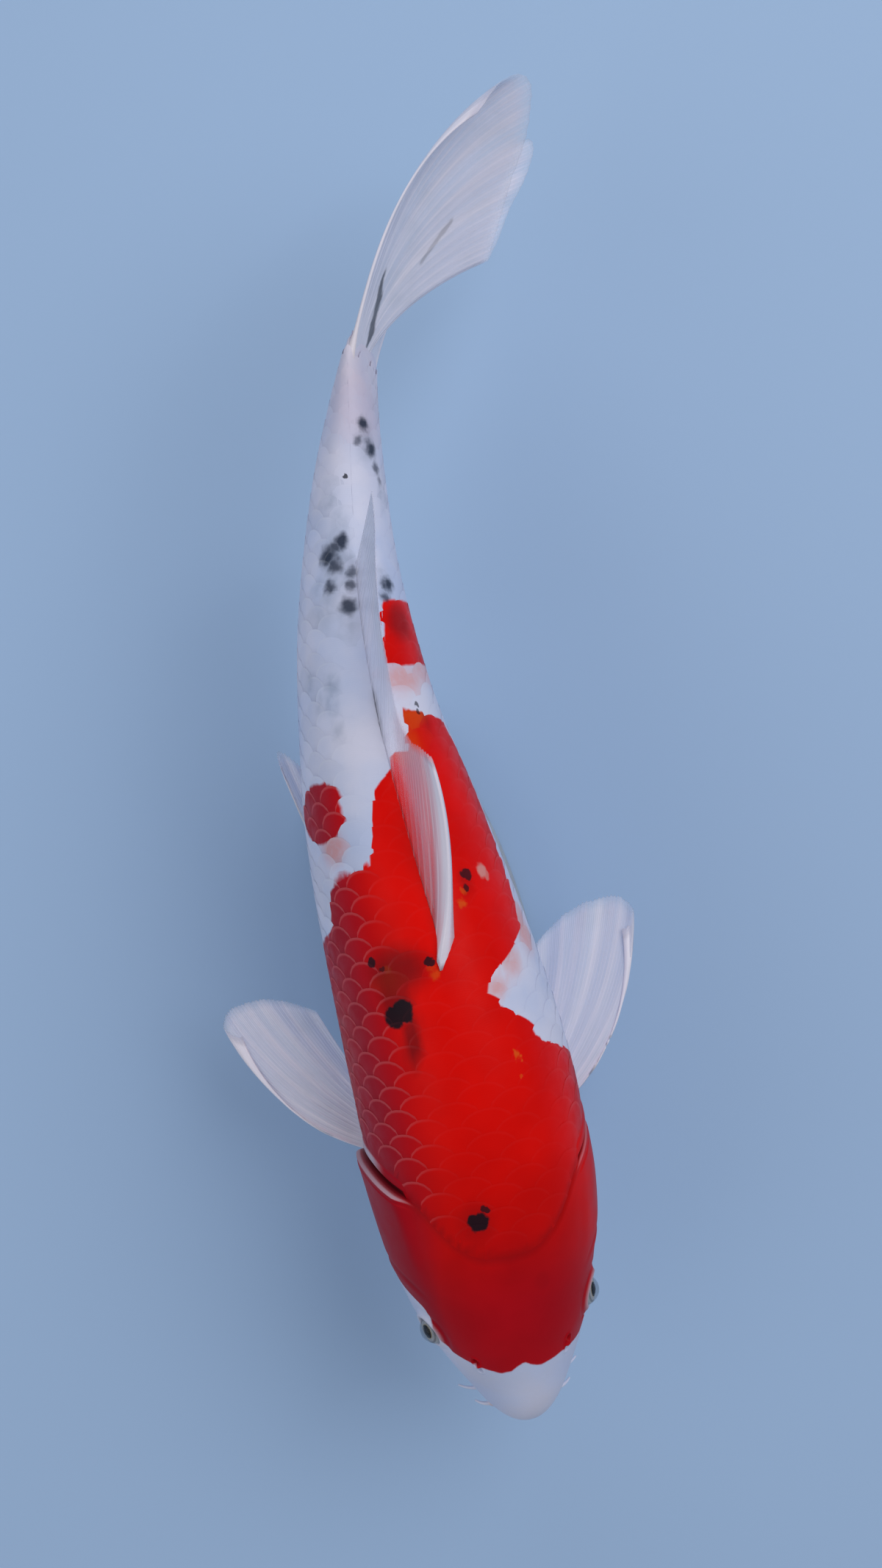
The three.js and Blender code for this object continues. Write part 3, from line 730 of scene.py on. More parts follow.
def scale_material(settings):
    material, n, shader = new_material("Koi scales", Roughness=0.4, Coat_Weight=0.0,
                                       Coat_Roughness=0.25, Specular_IOR_Level=0.07)
    where = n.position()
    # Koi colours, with painted shade on head, nape line and flanks.
    pigment = n.group(pattern_group(settings), {"Position": where, "Softness": 0.6, "Wobble": 0.9})
    sheet = n.add("ShaderNodeUVMap", uv_map="Scale").outputs[0]
    axes = n.add("ShaderNodeSeparateXYZ", {0: sheet}).outputs
    # Painted shade darkens a scale a little where it goes under its neighbours, and it pales at its
    # free edge.
    aside = n.math("POWER", n.off(axes[0], 0.5), 2.0)
    edge = n.ramp(n.plus(axes[1], n.times(aside, 0.28)), 0.91, 0.97)
    root = n.ramp(axes[1], 0.6, 0.3)
    net = n.field("net")
    tint = n.plus(n.times(n.minus(n.field("tint"), 0.5), n.times(net, 0.12)), 1.0)
    shade = n.add("ShaderNodeHueSaturation", {"Value": tint, "Color": pigment["Colour"]})
    pale = n.blend(pigment["Red Mask"], settings.edge_white, settings.edge_red)
    strength = n.times(net, n.ramp(pigment["Red Mask"], 0.0, 1.0, 0.14, 0.48))
    strength = n.times(strength, n.ramp(pigment["Black Mask"], 0.0, 1.0, 1.0, 0.1))
    body = n.blend(n.times(edge, strength), shade.outputs[0], pale)
    # Painted shade towards the root of each scale.
    deep = n.blend(1.0, body, settings.root_shade, mode="MULTIPLY")
    body = n.blend(n.times(root, n.times(net, 0.3)), body, deep)
    # Small pore on each scale of the lateral line, painted as a dot of shade.
    off = n.vector("DISTANCE", sheet, (0.5, 0.72, 0.0))["Value"]
    pore = n.times(n.ramp(off, 0.1, 0.03), n.field("pore"))
    body = n.blend(n.times(pore, 0.26), body, settings.crease)
    n.put(shader.inputs["Base Color"], body)
    rings = n.ramp(n.off(n.math("FRACT", n.times(axes[1], 17.0)), 0.5), 0.1, 0.5)
    n.bump(shader, 0.12, 0.0002, n.plus(n.times(rings, 0.25), n.noise(where, 500.0, 2.0)))
    n.put(shader.inputs["Roughness"], n.ramp(n.noise(where, 150.0, 3.0), 0.3, 0.7, 0.34, 0.48))
    return material


def fin_material(name, settings, count, streaks=(), lead=0.1, clear=False):
    """White, glassy membrane between paler branching rays, with dark streaks where a fin has them.

    The leading rays are white over a share of the sheet. A clear fin lets the back show through."""
    material, n, shader = new_material(name, Roughness=0.38, Coat_Weight=0.2, Coat_Roughness=0.15)
    where = n.position()
    sheet = n.add("ShaderNodeUVMap", uv_map="Rays").outputs[0]
    rays = n.group(ray_group(), {"Sheet": sheet, "Count": float(count)})
    ray, along, across = (rays[key] for key in ("Ray", "Along", "Across"))
    cloud = n.noise(where, 55.0, 4.0)
    # Soft streaks that run with the rays.
    drift = n.noise(n.vector("MULTIPLY", sheet, (1.0, 0.07, 0.0))[0], 11.0, 2.0)
    web = n.ramp(across, 0.24, 0.46, 1.0 if clear else 0.0, 0.0)
    web = n.blend(web, settings.membrane, settings.web_pink)
    body = n.blend(n.times(ray, 0.4), web, settings.ray)
    body = n.blend(n.ramp(drift, 0.45, 0.7, 0.0, 0.6), body, settings.ray)
    body = n.blend(n.ramp(across, lead, lead * 0.4, 0.0, 0.95), body, settings.ray)
    flesh, cloudy = (0.15, 0.06) if clear else (0.6, 0.25)
    body = n.blend(n.ramp(along, 0.32, 0.0, 0.0, flesh), body, settings.fin_root)
    body = n.blend(n.ramp(cloud, 0.45, 0.8, 0.0, cloudy), body, settings.slate_pale)
    dark = None
    for u0, v0, u1, v1, width, strength in streaks:
        # Distance from a straight streak on the fin's own sheet.
        start, run = Vector((u0, v0, 0)), Vector((u1 - u0, v1 - v0, 0))
        rel = n.vector("SUBTRACT", sheet, start)[0]
        dot = n.vector("DOT_PRODUCT", rel, run / run.length_squared)["Value"]
        share = n.math("MINIMUM", n.math("MAXIMUM", dot, 0.0), 1.0)
        foot = n.add("ShaderNodeVectorMath", {0: run}, operation="SCALE")
        n.put(foot.inputs["Scale"], share)
        gap = n.vector("DISTANCE", rel, foot.outputs[0])["Value"]
        near = n.plus(gap, n.times(n.minus(n.noise(where, 160.0, 3.0), 0.5), width))
        streak = n.ramp(near, width * 0.35, width, strength, 0.0)
        dark = streak if dark is None else n.math("MAXIMUM", dark, streak)
    if clear:
        solid = n.plus(n.times(ray, 0.2), n.ramp(along, 0.25, 0.9, 0.06, 0.3))
        solid = n.plus(solid, n.ramp(across, lead * 5.0, lead * 2.0, 0.0, 0.2))
        solid = n.plus(solid, n.ramp(across, 0.4, 0.62, 0.0, 0.45))
        solid = n.plus(solid, n.ramp(across, lead * 1.5, lead * 0.8, 0.0, 0.7), clamp=True)
    else:
        solid = n.plus(n.times(ray, 0.12), n.ramp(along, 0.0, 1.0, 0.9, 0.6))
        solid = n.plus(solid, n.ramp(drift, 0.35, 0.7, -0.08, 0.12))
        solid = n.plus(solid, n.ramp(along, 0.22, 0.0, 0.0, 0.3))
        solid = n.plus(solid, n.ramp(across, lead, 0.0, 0.0, 0.4), clamp=True)
    if dark is not None:
        body = n.blend(dark, body, settings.slate_dark)
        solid = n.plus(solid, n.times(dark, 0.3), clamp=True)
    n.put(shader.inputs["Base Color"], body)
    n.put(shader.inputs["Alpha"], n.times(solid, n.ramp(along, 0.93, 1.0, 1.0, 0.35)))
    n.bump(shader, 0.1, 0.0004, rays["Height"])
    return material


def eye_material(settings):
    material, n, shader = new_material("Eyeball", Roughness=0.18, Coat_Weight=0.1,
                                       Coat_Roughness=0.1)
    off = n.field("from_axis")
    sheet = n.add("ShaderNodeCombineXYZ", {0: n.times(n.field("round_axis"), 9.0), 1: off})
    fibres = n.noise(sheet.outputs[0], 2.4, 4.0, 0.6)
    iris = n.blend(n.ramp(fibres, 0.35, 0.7), settings.iris, settings.iris_light)
    body = n.blend(n.ramp(off, 0.86, 0.98), iris, settings.eye_white)
    body = n.blend(n.ramp(n.off(off, 0.86), 0.04, 0.1, 0.5, 0.0), body, settings.iris_rim)
    body = n.blend(n.ramp(n.off(off, 0.58), 0.02, 0.05, 0.7, 0.0), body, settings.iris_ring)
    body = n.blend(n.ramp(off, 0.58, 0.54), body, settings.pupil)
    n.put(shader.inputs["Base Color"], body)
    n.bump(shader, 0.15, 0.0002, fibres)
    return material


def cornea_material(settings):
    material, n, shader = new_material("Cornea", Roughness=0.03, Coat_Weight=0.0, Alpha=0.12)
    where = n.position()
    wet = n.noise(where, 300.0, 2.0)
    n.put(shader.inputs["Base Color"], n.blend(wet, settings.pupil, (0.03, 0.03, 0.04)))
    n.put(shader.inputs["Roughness"], n.ramp(wet, 0.2, 0.8, 0.02, 0.07))
    return material


def barbel_material(settings):
    material, n, shader = new_material("Barbel", Roughness=0.35, Coat_Weight=0.3,
                                       Coat_Roughness=0.15)
    where = n.position()
    grain = n.group(grain_group(), {"Position": where, "Size": 0.6})
    body = n.blend(n.ramp(n.field("tip"), 0.3, 0.0), settings.white, settings.flesh)
    body = n.blend(n.ramp(grain["Mottle"], 0.4, 0.8, 0.0, 0.35), body, settings.white_cool)
    n.put(shader.inputs["Base Color"], body)
    n.bump(shader, 0.15, 0.0002, grain["Height"])
    return material


@built_once("Handling Wear")
def wear_group(name):
    """Faint dust and handling marks for the stand."""
    tree, n, given, made = new_group(name, [
        ("Position", "Vector", None), ("Amount", "Float", 1.0),
    ], [("Dust", "Float"), ("Scratches", "Float")])
    dust = n.ramp(n.noise(given["Position"], 40.0, 6.0, 0.65), 0.5, 0.8)
    stretched = n.add("ShaderNodeMapping", {
        "Vector": given["Position"], "Scale": (40.0, 900.0, 900.0)})
    scratches = n.ramp(n.noise(stretched.outputs[0], 1.0, 3.0), 0.62, 0.7)
    n.put(made["Dust"], n.times(dust, given["Amount"]))
    n.put(made["Scratches"], n.times(scratches, given["Amount"]))
    return tree


def base_material(settings):
    material, n, shader = new_material("Stand lacquer", Roughness=0.35, Coat_Weight=0.25,
                                       Coat_Roughness=0.2)
    where = n.position()
    turned = n.add("ShaderNodeMapping", {
        "Vector": where, "Rotation": (0, 0, math.radians(-BASE["turn"])),
        "Scale": (220.0, 16.0, 220.0)})
    grain = n.noise(turned.outputs[0], 1.0, 5.0, 0.6)
    wear = n.group(wear_group(), {"Position": where, "Amount": 0.6})
    body = n.blend(n.ramp(grain, 0.35, 0.68), settings.base_dark, settings.base_light)
    body = n.blend(n.times(wear["Dust"], 0.12), body, settings.slate_pale)
    n.put(shader.inputs["Base Color"], body)
    n.put(shader.inputs["Roughness"], n.ramp(wear["Dust"], 0.0, 1.0, 0.3, 0.5))
    n.bump(shader, 0.12, 0.0003, grain)
    return material


def steel_material(settings):
    material, n, shader = new_material("Brushed rod", Metallic=1.0, Roughness=0.3)
    where = n.position()
    brushed = n.add("ShaderNodeMapping", {"Vector": where, "Scale": (150.0, 150.0, 4000.0)})
    lines = n.noise(brushed.outputs[0], 1.0, 3.0)
    wear = n.group(wear_group(), {"Position": where, "Amount": 1.0})
    n.put(shader.inputs["Base Color"], n.blend(lines, settings.steel, settings.steel_light))
    n.put(shader.inputs["Roughness"], n.plus(n.ramp(lines, 0.3, 0.7, 0.24, 0.36),
                                             n.times(wear["Scratches"], 0.1)))
    n.bump(shader, 0.1, 0.0001, lines)
    return material


# ---- Skin --------------------------------------------------------------------------------------

EDGE_BAND = 4.0  # finely divided band ahead of the rear edge of the head
SLIT_BAND = 7.0  # and behind it
HEAD_SHARE, EDGE_SHARE, SLIT_SHARE = 0.55, 0.62, 0.72  # where the bands end on the sheet
FIRST_ROW = 0.02  # distance of the skin's first row from the snout
MOUTH_END = 26  # the lips lie ahead of this distance
LIP_HEIGHT = 3.4  # most that a lip rises over the face


def ring_distance(share, degrees):
    """Distance from the snout for a row of the skin's sheet: rows crowd at snout and head edge."""
    edge = head_edge(degrees)
    head, rim, slit = HEAD_SHARE, EDGE_SHARE, SLIT_SHARE
    face = FIRST_ROW + (edge - EDGE_BAND - FIRST_ROW) * np.clip(share / head, 0, 1) ** 1.35
    cover = edge - EDGE_BAND * (1 - np.clip((share - head) / (rim - head), 0, 1)) ** 1.3
    gap = edge + SLIT_BAND * np.clip((share - rim) / (slit - rim), 0, 1) ** 1.5
    trunk = mix(edge + SLIT_BAND, STOCK_END, np.clip((share - slit) / (1 - slit), 0, 1))
    return np.select([share < head, share < rim, share < slit], [face, cover, gap], trunk)


def cover_relief(s, degrees, coat):
    """Height of gill cover, gill opening and shoulder over the body, and the painted shade where it
    creases.
    """
    angle = np.abs(degrees)
    edge, share = head_edge(degrees), cover_share(degrees)
    flare = np.where(degrees > 0, COVER_FLARE[LEFT], COVER_FLARE[RIGHT])
    down = np.clip((angle - COVER["top"]) / COVER["span"], 0, 1)
    away = (2 * down - 1) ** 2
    front = COVER["front"] + COVER["slant"] * away * down
    back = np.clip((s - front) / np.maximum(edge - front, 1), 0, 1)
    behind = s - edge
    # Gill cover: a low dome that ends in a soft, rounded border.
    dome = (0.5 * smooth(0.0, 0.5, back) + flare * back ** 3) * share
    border = -0.4 * smooth(0, 1.2, behind + COVER["border"]) * share
    lip_round = np.sqrt(np.clip(1 - np.clip((behind + 0.9) / 0.9, 0, 1) ** 2, 0, 1))
    deep = COVER["slit"] * share
    plate = (dome + border + deep) * lip_round - deep
    # Crescent ridge and groove across the cheek, and a faint seam under it.
    ridge = CHEEK_RIDGE
    off = s - ridge["at"] + ridge["bow"] * ((angle - ridge["angle"]) / ridge["half"]) ** 2
    cheek = smooth(50, 66, angle) * (1 - smooth(128, 146, angle))
    groove = swell(off, 1.1) * cheek
    plate = plate + (0.25 * swell(off + 2.8, 2.6) - 0.35 * swell(off, 1.3)) * cheek
    # Behind: the floor of the slit, a bare shoulder, then the bed of the scales.
    floor = -COVER["slit"] * (1 - smooth(0.5, 3.0, behind)) - 0.1
    end = COVER["shoulder"]
    shoulder = np.where(behind < end, floor, floor - (coat - 0.1) * smooth(end, end + 1.4, behind))
    nape = -coat * smooth(-2.0, 2.5, behind)
    rear = mix(nape, shoulder, share)
    # A shallow furrow where the nape's skin meets the first scales.
    furrow = nape * (1 - share)
    height = np.where(behind < 0, plate + furrow, rear)
    # Painted shade in the gill opening and in the cheek's groove.
    crease = share * smooth(-0.3, 0.0, behind) * (1 - smooth(0.8, 2.2, behind))
    crease = np.clip(groove * 0.2 + crease, 0, 1)
    rim = share * smooth(-1.0, -0.6, behind) * (1 - smooth(-0.35, -0.15, behind))
    rim = rim * np.where(degrees > 0, 0.3, 0.7)
    # Pale skin of the shoulder, bared where the right gill cover stands open.
    bare = share * smooth(1.4, 2.6, behind) * (1 - smooth(5.2, 6.6, behind))
    bare = bare * smooth(62, 76, -degrees)
    rim = np.maximum(rim, bare)
    crease = crease * (1 - 0.8 * bare)
    return height, crease, rim


def nostrils(s, degrees):
    """Paired pits ahead of each eye, with a small flap between them, and painted shade inside the
    pits.
    """
    height, dark = np.zeros_like(s), np.zeros_like(s)
    y = (np.abs(degrees) - NOSTRIL_ANGLE) * NOSTRIL_MM_PER_DEGREE
    for front, depth, half in NOSTRIL_PITS:
        r = np.hypot(s - front, y) / half
        height += depth * np.exp(-(r ** 4)) + 0.35 * swell(r - 1.45, 0.35)
        # Painted shade inside each pit.
        dark = np.maximum(dark, np.exp(-(r ** 4)))
    flap = swell(s - NOSTRIL_FLAP, 0.55) * swell(y, 1.7)
    return height + 0.9 * flap, dark * (1 - flap)


def lip_route(form, count=49):
    """Centre line of a lip from one corner of the mouth round the snout to the other."""
    t = np.linspace(-np.pi / 2, np.pi / 2, count)
    forward = np.cos(t)
    half = MOUTH["half_width"] * (1 + MOUTH["widening"] * (1 - forward))
    drop = MOUTH["drop"] * (1 - forward) + form["down"] + form["front_down"] * forward
    along = mix(MOUTH["depth"], form["front"], forward)
    radius = mix(1.5, form["radius"], np.sin(np.linspace(0, np.pi, count)))
    return place(along, half * np.sin(t), MOUTH["level"] - drop), radius


def add_lips(points, normals):
    """Raises the skin into two soft rolls with the closed mouth between them, and gives painted
    shade along the mouth.
    """
    lift = np.zeros(len(points))
    routes = [lip_route(LIPS[key]) for key in ("upper", "lower")]
    for route, radius in routes:
        off = points[:, None, :] - route[None]
        i = np.argmin(np.linalg.norm(off, axis=2), axis=1)
        off = off[np.arange(len(points)), i]
        rise = np.sum(off * normals, axis=1)
        side2 = np.sum(off ** 2, axis=1) - rise ** 2
        r2 = radius[i] ** 2
        top = -rise + np.sqrt(np.maximum(r2 - side2, 0))
        lift = np.maximum(lift, np.where(side2 < r2, np.minimum(top, LIP_HEIGHT), lift))
        ring = np.sqrt(np.maximum(side2, 0)) - radius[i]
        groove = np.where(lift <= 0.01, 0.35 * swell(ring - 0.5, 0.6), 0)
        lift = lift - groove * (np.abs(rise) < 4)
    # Painted shade along the closed mouth.
    seam = (routes[0][0] + routes[1][0]) / 2
    raised = points + normals * np.maximum(lift, 0)[:, None]
    gap = np.min(np.linalg.norm(raised[:, None, :] - seam[None], axis=2), axis=1)
    return lift, np.exp(-(gap / 1.9) ** 4)


def seat_eyes(points):
    """Sinks the skin under each eyeball and raises a soft ring round it."""
    crease = np.zeros(len(points))
    rim = np.zeros(len(points))
    for _, side in SIDES:
        centre, axis = eye_axis(side)
        off = points - centre
        t = off @ axis
        r = np.linalg.norm(off - t[:, None] * axis, axis=1)
        near = (t > 0) & (r < EYE_REACH)
        ring = 1.15 * swell(r - EYE_RING, 1.3) - 0.35 * swell(r - EYE_FURROW, 1.2)
        sink = -SOCKET_DEPTH * (1 - smooth(4.9, 6.0, r))
        move = np.where(near, ring + sink, 0)
        points = points + move[:, None] * axis
        # Painted shade where the skin meets the eyeball.
        crease = np.maximum(crease, np.where(near, 1 - smooth(5.6, 6.3, r), 0))
        rim = np.maximum(rim, np.where(near, 0.9 * (1 - smooth(6.6, 8.8, r)), 0))
    return points, crease, rim


def eye_axis(side):
    """Centre of an eyeball and the way that it looks: out, a little forward and up."""
    centre = place(EYE["along"], side * EYE["across"], EYE["up"])
    _, back, left, up = frames(EYE["along"])
    return centre, unit(side * left - 0.12 * back + 0.46 * up)


class KOI_OT_skin(bpy.types.Operator):
    """One skin over head, trunk and tail stock, with gill covers, mouth, nostrils and eye rings"""

    bl_idname = "koi.skin"
    bl_label = "Skin"

    def execute(self, context):
        body, colours = context.scene.koi_body, context.scene.koi_colours
        skin = add_grid("koi_skin", body.columns, body.rows)
        # Finer faces round eyes and nostrils, chosen on the flat sheet before it is laid.
        u, v = shares(skin)
        degrees = u * 360 - 180
        s, angle = ring_distance(v, degrees), np.abs(degrees)
        fine = (np.abs(s - EYE["along"]) < 13) & (np.abs(angle - 76) < 26)
        fine |= (np.abs(s - NOSTRIL_FLAP - 0.1) < 5) & (np.abs(angle - NOSTRIL_ANGLE) < 9)
        pick(skin)
        skin.data.vertices.foreach_set("select", fine)
        for parts in (skin.data.edges, skin.data.polygons):
            parts.foreach_set("select", [all(fine[i] for i in part.vertices) for part in parts])
        bpy.ops.object.mode_set(mode="EDIT")
        bpy.ops.mesh.subdivide(number_cuts=1)
        bpy.ops.object.mode_set(mode="OBJECT")

        u, v = shares(skin)
        degrees = u * 360 - 180
        s = ring_distance(v, degrees)
        coat = body.coat_depth / MM
        points, normals = body_point(s, degrees), body_normal(s, degrees)
        height, crease, rim = cover_relief(s, degrees, coat)
        pits, dark = nostrils(s, degrees)
        points = points + normals * (height + pits)[:, None]
        points, socket, ring = seat_eyes(points)
        # The painted shade of nostril pits and eye sockets joins that of the creases.
        crease, rim = np.maximum.reduce([crease, 0.25 * dark, 0.6 * socket]), np.maximum(rim, ring)
        mouth = s < MOUTH_END
        lift, line = add_lips(points[mouth], normals[mouth])
        points[mouth] += normals[mouth] * lift[:, None]
        crease[mouth] = np.maximum(crease[mouth], line)
        lay(skin, points)
        store(skin, crease=crease, rim=rim, **markings(s, degrees))
        edit(skin, weld, outward)
        settle(skin, skin_material(colours), "skin_red", "head", "trunk_front", "trunk_rear",
               "tail_stock", "gill_cover_left", "gill_cover_right", "upper_lip", "lower_lip")
        return {"FINISHED"}


# ---- Scales ------------------------------------------------------------------------------------

ROWS_PER_SIDE = 13.5
LATERAL_ROW = 7
FIRST_COLUMN, LAST_COLUMN = 62.0, STOCK_END - 9
EVEN_ROWS_END = 180  # ahead of it the girth is shared out evenly, behind it rows keep a height
# Spacing along the body, and height of a row: (distance from the snout, millimetres).
SCALE_PITCH = [(80, 9.4), (150, 9.6), (250, 9.2), (350, 8.2), (434, 7.2)]
SCALE_HEIGHT = [(EVEN_ROWS_END, float(half_girth(EVEN_ROWS_END)) / ROWS_PER_SIDE), (215, 11.4),
                (250, 10.8), (285, 10.2), (320, 9.6), (352, 9.0), (385, 8.4), (430, 7.8)]


def scale_rows():
    """Every scale: (side, row, s, length round from the back, pitch, row height)."""
    columns = [FIRST_COLUMN]
    while columns[-1] < LAST_COLUMN:
        columns.append(columns[-1] + float(curve(SCALE_PITCH, columns[-1])) / 2)
    found = []
    for i, s in enumerate(columns[:-1]):
        girth, pitch = float(half_girth(s)), float(curve(SCALE_PITCH, s))
        step = girth / ROWS_PER_SIDE if s < EVEN_ROWS_END else float(curve(SCALE_HEIGHT, s))
        middle = girth * LATERAL_ROW / ROWS_PER_SIDE
        for row in range(-3, 18):
            if (row + i) % 2:
                continue
            length = middle + (row - LATERAL_ROW) * step
            on_ridge = row == 0 and s < DORSAL["from"] + 2
            if not on_ridge and not -0.7 * step < length < girth + 0.7 * step:
                continue
            for side in ((0,) if on_ridge else (LEFT, RIGHT)):
                degrees = float(angle_at(np.array(s), np.array(side * np.clip(length, 0, girth))))
                band = float(cover_share(degrees)) * COVER["shoulder"]
                if s + 0.15 * pitch > float(head_edge(degrees)) + band:
                    found.append((side, row, s, 0.0 if on_ridge else length, pitch, step))
    return found


SCALE_INSET = 0.05  # how far the highest free edge stays inside the body's outline
UNDERCUT = 0.06  # share by which the lower margin of a scale is drawn in
FREE_EDGE, HIDDEN_ROOT = 0.78, 0.82  # reach of a scale behind and ahead of its place, in pitches
# The first scales start so far ahead of the head's edge on the nape, and behind it at the gills.
NAPE_OVERLAP, GILL_GAP = 3, 5.2
BAKE_PATCH = 0.003  # size of a scale's patch in a bake


def one_scale(across=8, along=4):
    """Outline shares of one scale: its sheet from hidden root to free edge, and its faces."""
    p, q = np.meshgrid(np.linspace(-1, 1, across + 1), np.linspace(0, 1, along + 1) ** 0.9)
    p, q = p.ravel(), q.ravel()
    count = len(p)
    faces = []
    for r in range(along):
        for c in range(across):
            a = r * (across + 1) + c
            faces.append((a, a + 1, a + across + 2, a + across + 1))
    rim = (list(range(across + 1)) + [(r + 1) * (across + 1) - 1 for r in range(1, along + 1)]
           + [along * (across + 1) + c for c in range(across - 1, -1, -1)]
           + [r * (across + 1) for r in range(along - 1, 0, -1)])
    low = {a: count + k for k, a in enumerate(rim)}
    for a, b in zip(rim, rim[1:] + rim[:1]):
        faces.append((b, a, low[a], low[b]))
    faces.append(tuple(low[a] for a in reversed(rim)))
    return p, q, rim, faces


def scale_mesh(name, scales, coat, thick, seed):
    """All scales of one side as one mesh, each a thin domed plate."""
    p, q, rim, faces = one_scale()
    columns = (np.array(column, float)[:, None] for column in zip(*scales))
    side, rows, s0, length0, pitch, step = columns
    rng = np.random.default_rng(seed)
    count = len(scales)
    wander = rng.normal(0, 1, (count, 4))
    # The plan of a scale: widest behind the middle, a round free edge, a blunter hidden root.
    width = step * (0.99 + 0.015 * wander[:, :1])
    rear, front = FREE_EDGE * pitch * (1 + 0.03 * wander[:, 1:2]), -HIDDEN_ROOT * pitch
    bow = np.clip(1 - np.abs(p) ** 2.4, 0, 1) ** 0.55
    tip = rear * bow - 0.3 * pitch * (1 - bow)
    stem = front * (0.55 + 0.45 * np.sqrt(1 - p ** 2 * 0.9))
    x = stem + (tip - stem) * q
    y = width * p * (0.82 + 0.18 * np.sin(np.pi / 2 * np.clip(1.1 * q, 0, 1)))
    s, length = s0 + x, length0 + y
    # Left and right scales meet at the ridge of the back and along the belly, and never cross.
    seam = np.where((s > DORSAL["from"] - 4) & (s < DORSAL["to"]), 0.3, 0.05)
    held = np.clip(length, seam, half_girth(s) - 0.05)
    length = np.where(side == 0, length, side * (held + 0.006 * (length - held)))
    # A scale climbs from its root to its free edge, so that it lies over those behind it, and
    # they lie flatter on the back than on the flanks.
    relief = smooth(18, 55, np.abs(angle_at(s, length)))
    share = np.clip((x / pitch + HIDDEN_ROOT) / (FREE_EDGE + HIDDEN_ROOT), 0, 1)
    rise = -SCALE_INSET - mix(0.14, 0.34, relief) * (1 - share ** 0.9)
    rise = rise + 0.04 * relief * (1 - p ** 2) * np.sin(np.pi * share * 0.8)
    rise = rise - 0.09 * relief * np.abs(p) ** 3
    degrees = angle_at(s, length)
    bare = head_edge(degrees) + mix(-NAPE_OVERLAP, GILL_GAP, cover_share(degrees))
    s = np.clip(np.maximum(s, bare), 0, STOCK_END - 0.5)
    # The first ones grow out of the skin of the nape.
    bed = -(coat + SCALE_INSET)
    rise = bed + (rise - bed) * smooth(0.5, 8, s - bare)
    top = body_point(s, degrees, rise)
    # Below, the margin is drawn in, so that no side wall shows from above.
    low_s = mix(s[:, rim], s.mean(axis=1, keepdims=True), UNDERCUT)
    low_degrees = mix(degrees[:, rim], degrees.mean(axis=1, keepdims=True), UNDERCUT)
    low = body_point(low_s, low_degrees, rise[:, rim] - thick)
    points = np.concatenate([top, low], axis=1)
    per = points.shape[1]
    order = np.concatenate([np.arange(len(p)), np.array(rim)])
    mesh = bpy.data.meshes.new(name)
    # Right-hand scales are mirrored, so their faces run the other way round.
    turned = {LEFT: faces, 0: faces, RIGHT: [face[::-1] for face in faces]}
    all_faces = [tuple(i + k * per for i in face)
                 for k in range(count) for face in turned[side[k, 0]]]
    mesh.from_pydata((points.reshape(-1, 3) * MM).tolist(), [], all_faces)
    piece = bpy.data.objects.new(name, mesh)
    bpy.context.scene.collection.objects.link(piece)

    # A scale takes most of its colour from its own middle, so colours end along scale edges.
    centre = side * np.clip(length0, 0.3, half_girth(s0) - 0.3)
    home = markings(s0 + 0.3 * pitch, angle_at(s0 + 0.3 * pitch, centre))
    here = markings(s[:, order], degrees[:, order])
    own = {"shadow": 0.85, "red_depth": 0.75}
    fields = {key: mix(home[key], here[key], own.get(key, 0.6)) for key in home}
    fields["tint"] = np.broadcast_to(rng.random((count, 1)), (count, per))
    angle = degrees[:, order]
    fields["net"] = 0.04 + 0.96 * np.maximum(smooth(20, 50, -angle), 0.9 * smooth(36, 80, angle))
    fields["pore"] = np.broadcast_to((rows == LATERAL_ROW) * 1.0, (count, per))
    store(piece, **fields)

    loops = np.zeros(len(mesh.loops), int)
    mesh.loops.foreach_get("vertex_index", loops)
    share_across, share_along = np.tile((p[order] + 1) / 2, count), np.tile(q[order], count)
    sheet = mesh.uv_layers.new(name="Scale")
    sheet.data.foreach_set("uv", np.c_[share_across[loops], share_along[loops]].ravel())
    # Small patches for a bake, each at its root's place on the body's unrolled surface.
    root_u = 0.5 + 0.49 * (centre / np.maximum(half_girth(s0), 1e-6))
    root_v = 0.01 + 0.98 * s0 / STOCK_END
    bake_u = (root_u + BAKE_PATCH * ((p[order] + 1) / 2 - 0.5)).ravel()
    bake_v = (root_v + BAKE_PATCH * (q[order] - 0.5)).ravel()
    bake = mesh.uv_layers.new(name="OFBake")
    bake.data.foreach_set("uv", np.c_[bake_u[loops], bake_v[loops]].ravel())
    mesh.update()
    return piece


class KOI_OT_scales(bpy.types.Operator):
    """Overlapping scales over the trunk and tail stock, in staggered rows along each side"""

    bl_idname = "koi.scales"
    bl_label = "Scales"

    def execute(self, context):
        body, colours = context.scene.koi_body, context.scene.koi_colours
        material = scale_material(colours)
        scales = scale_rows()
        for seed, (name, side) in enumerate(SIDES):
            # The row along the ridge of the back goes with the left side.
            chosen = [scale for scale in scales if (scale[0] or LEFT) == side]
            piece = scale_mesh(f"scales_{name}", chosen, body.coat_depth / MM,
                               body.scale_thickness / MM, seed + 3)
            settle(piece, material, "skin_red", sharp=50)
        return {"FINISHED"}


# ---- Eyes and barbels --------------------------------------------------------------------------

BARBEL_ROWS = 28


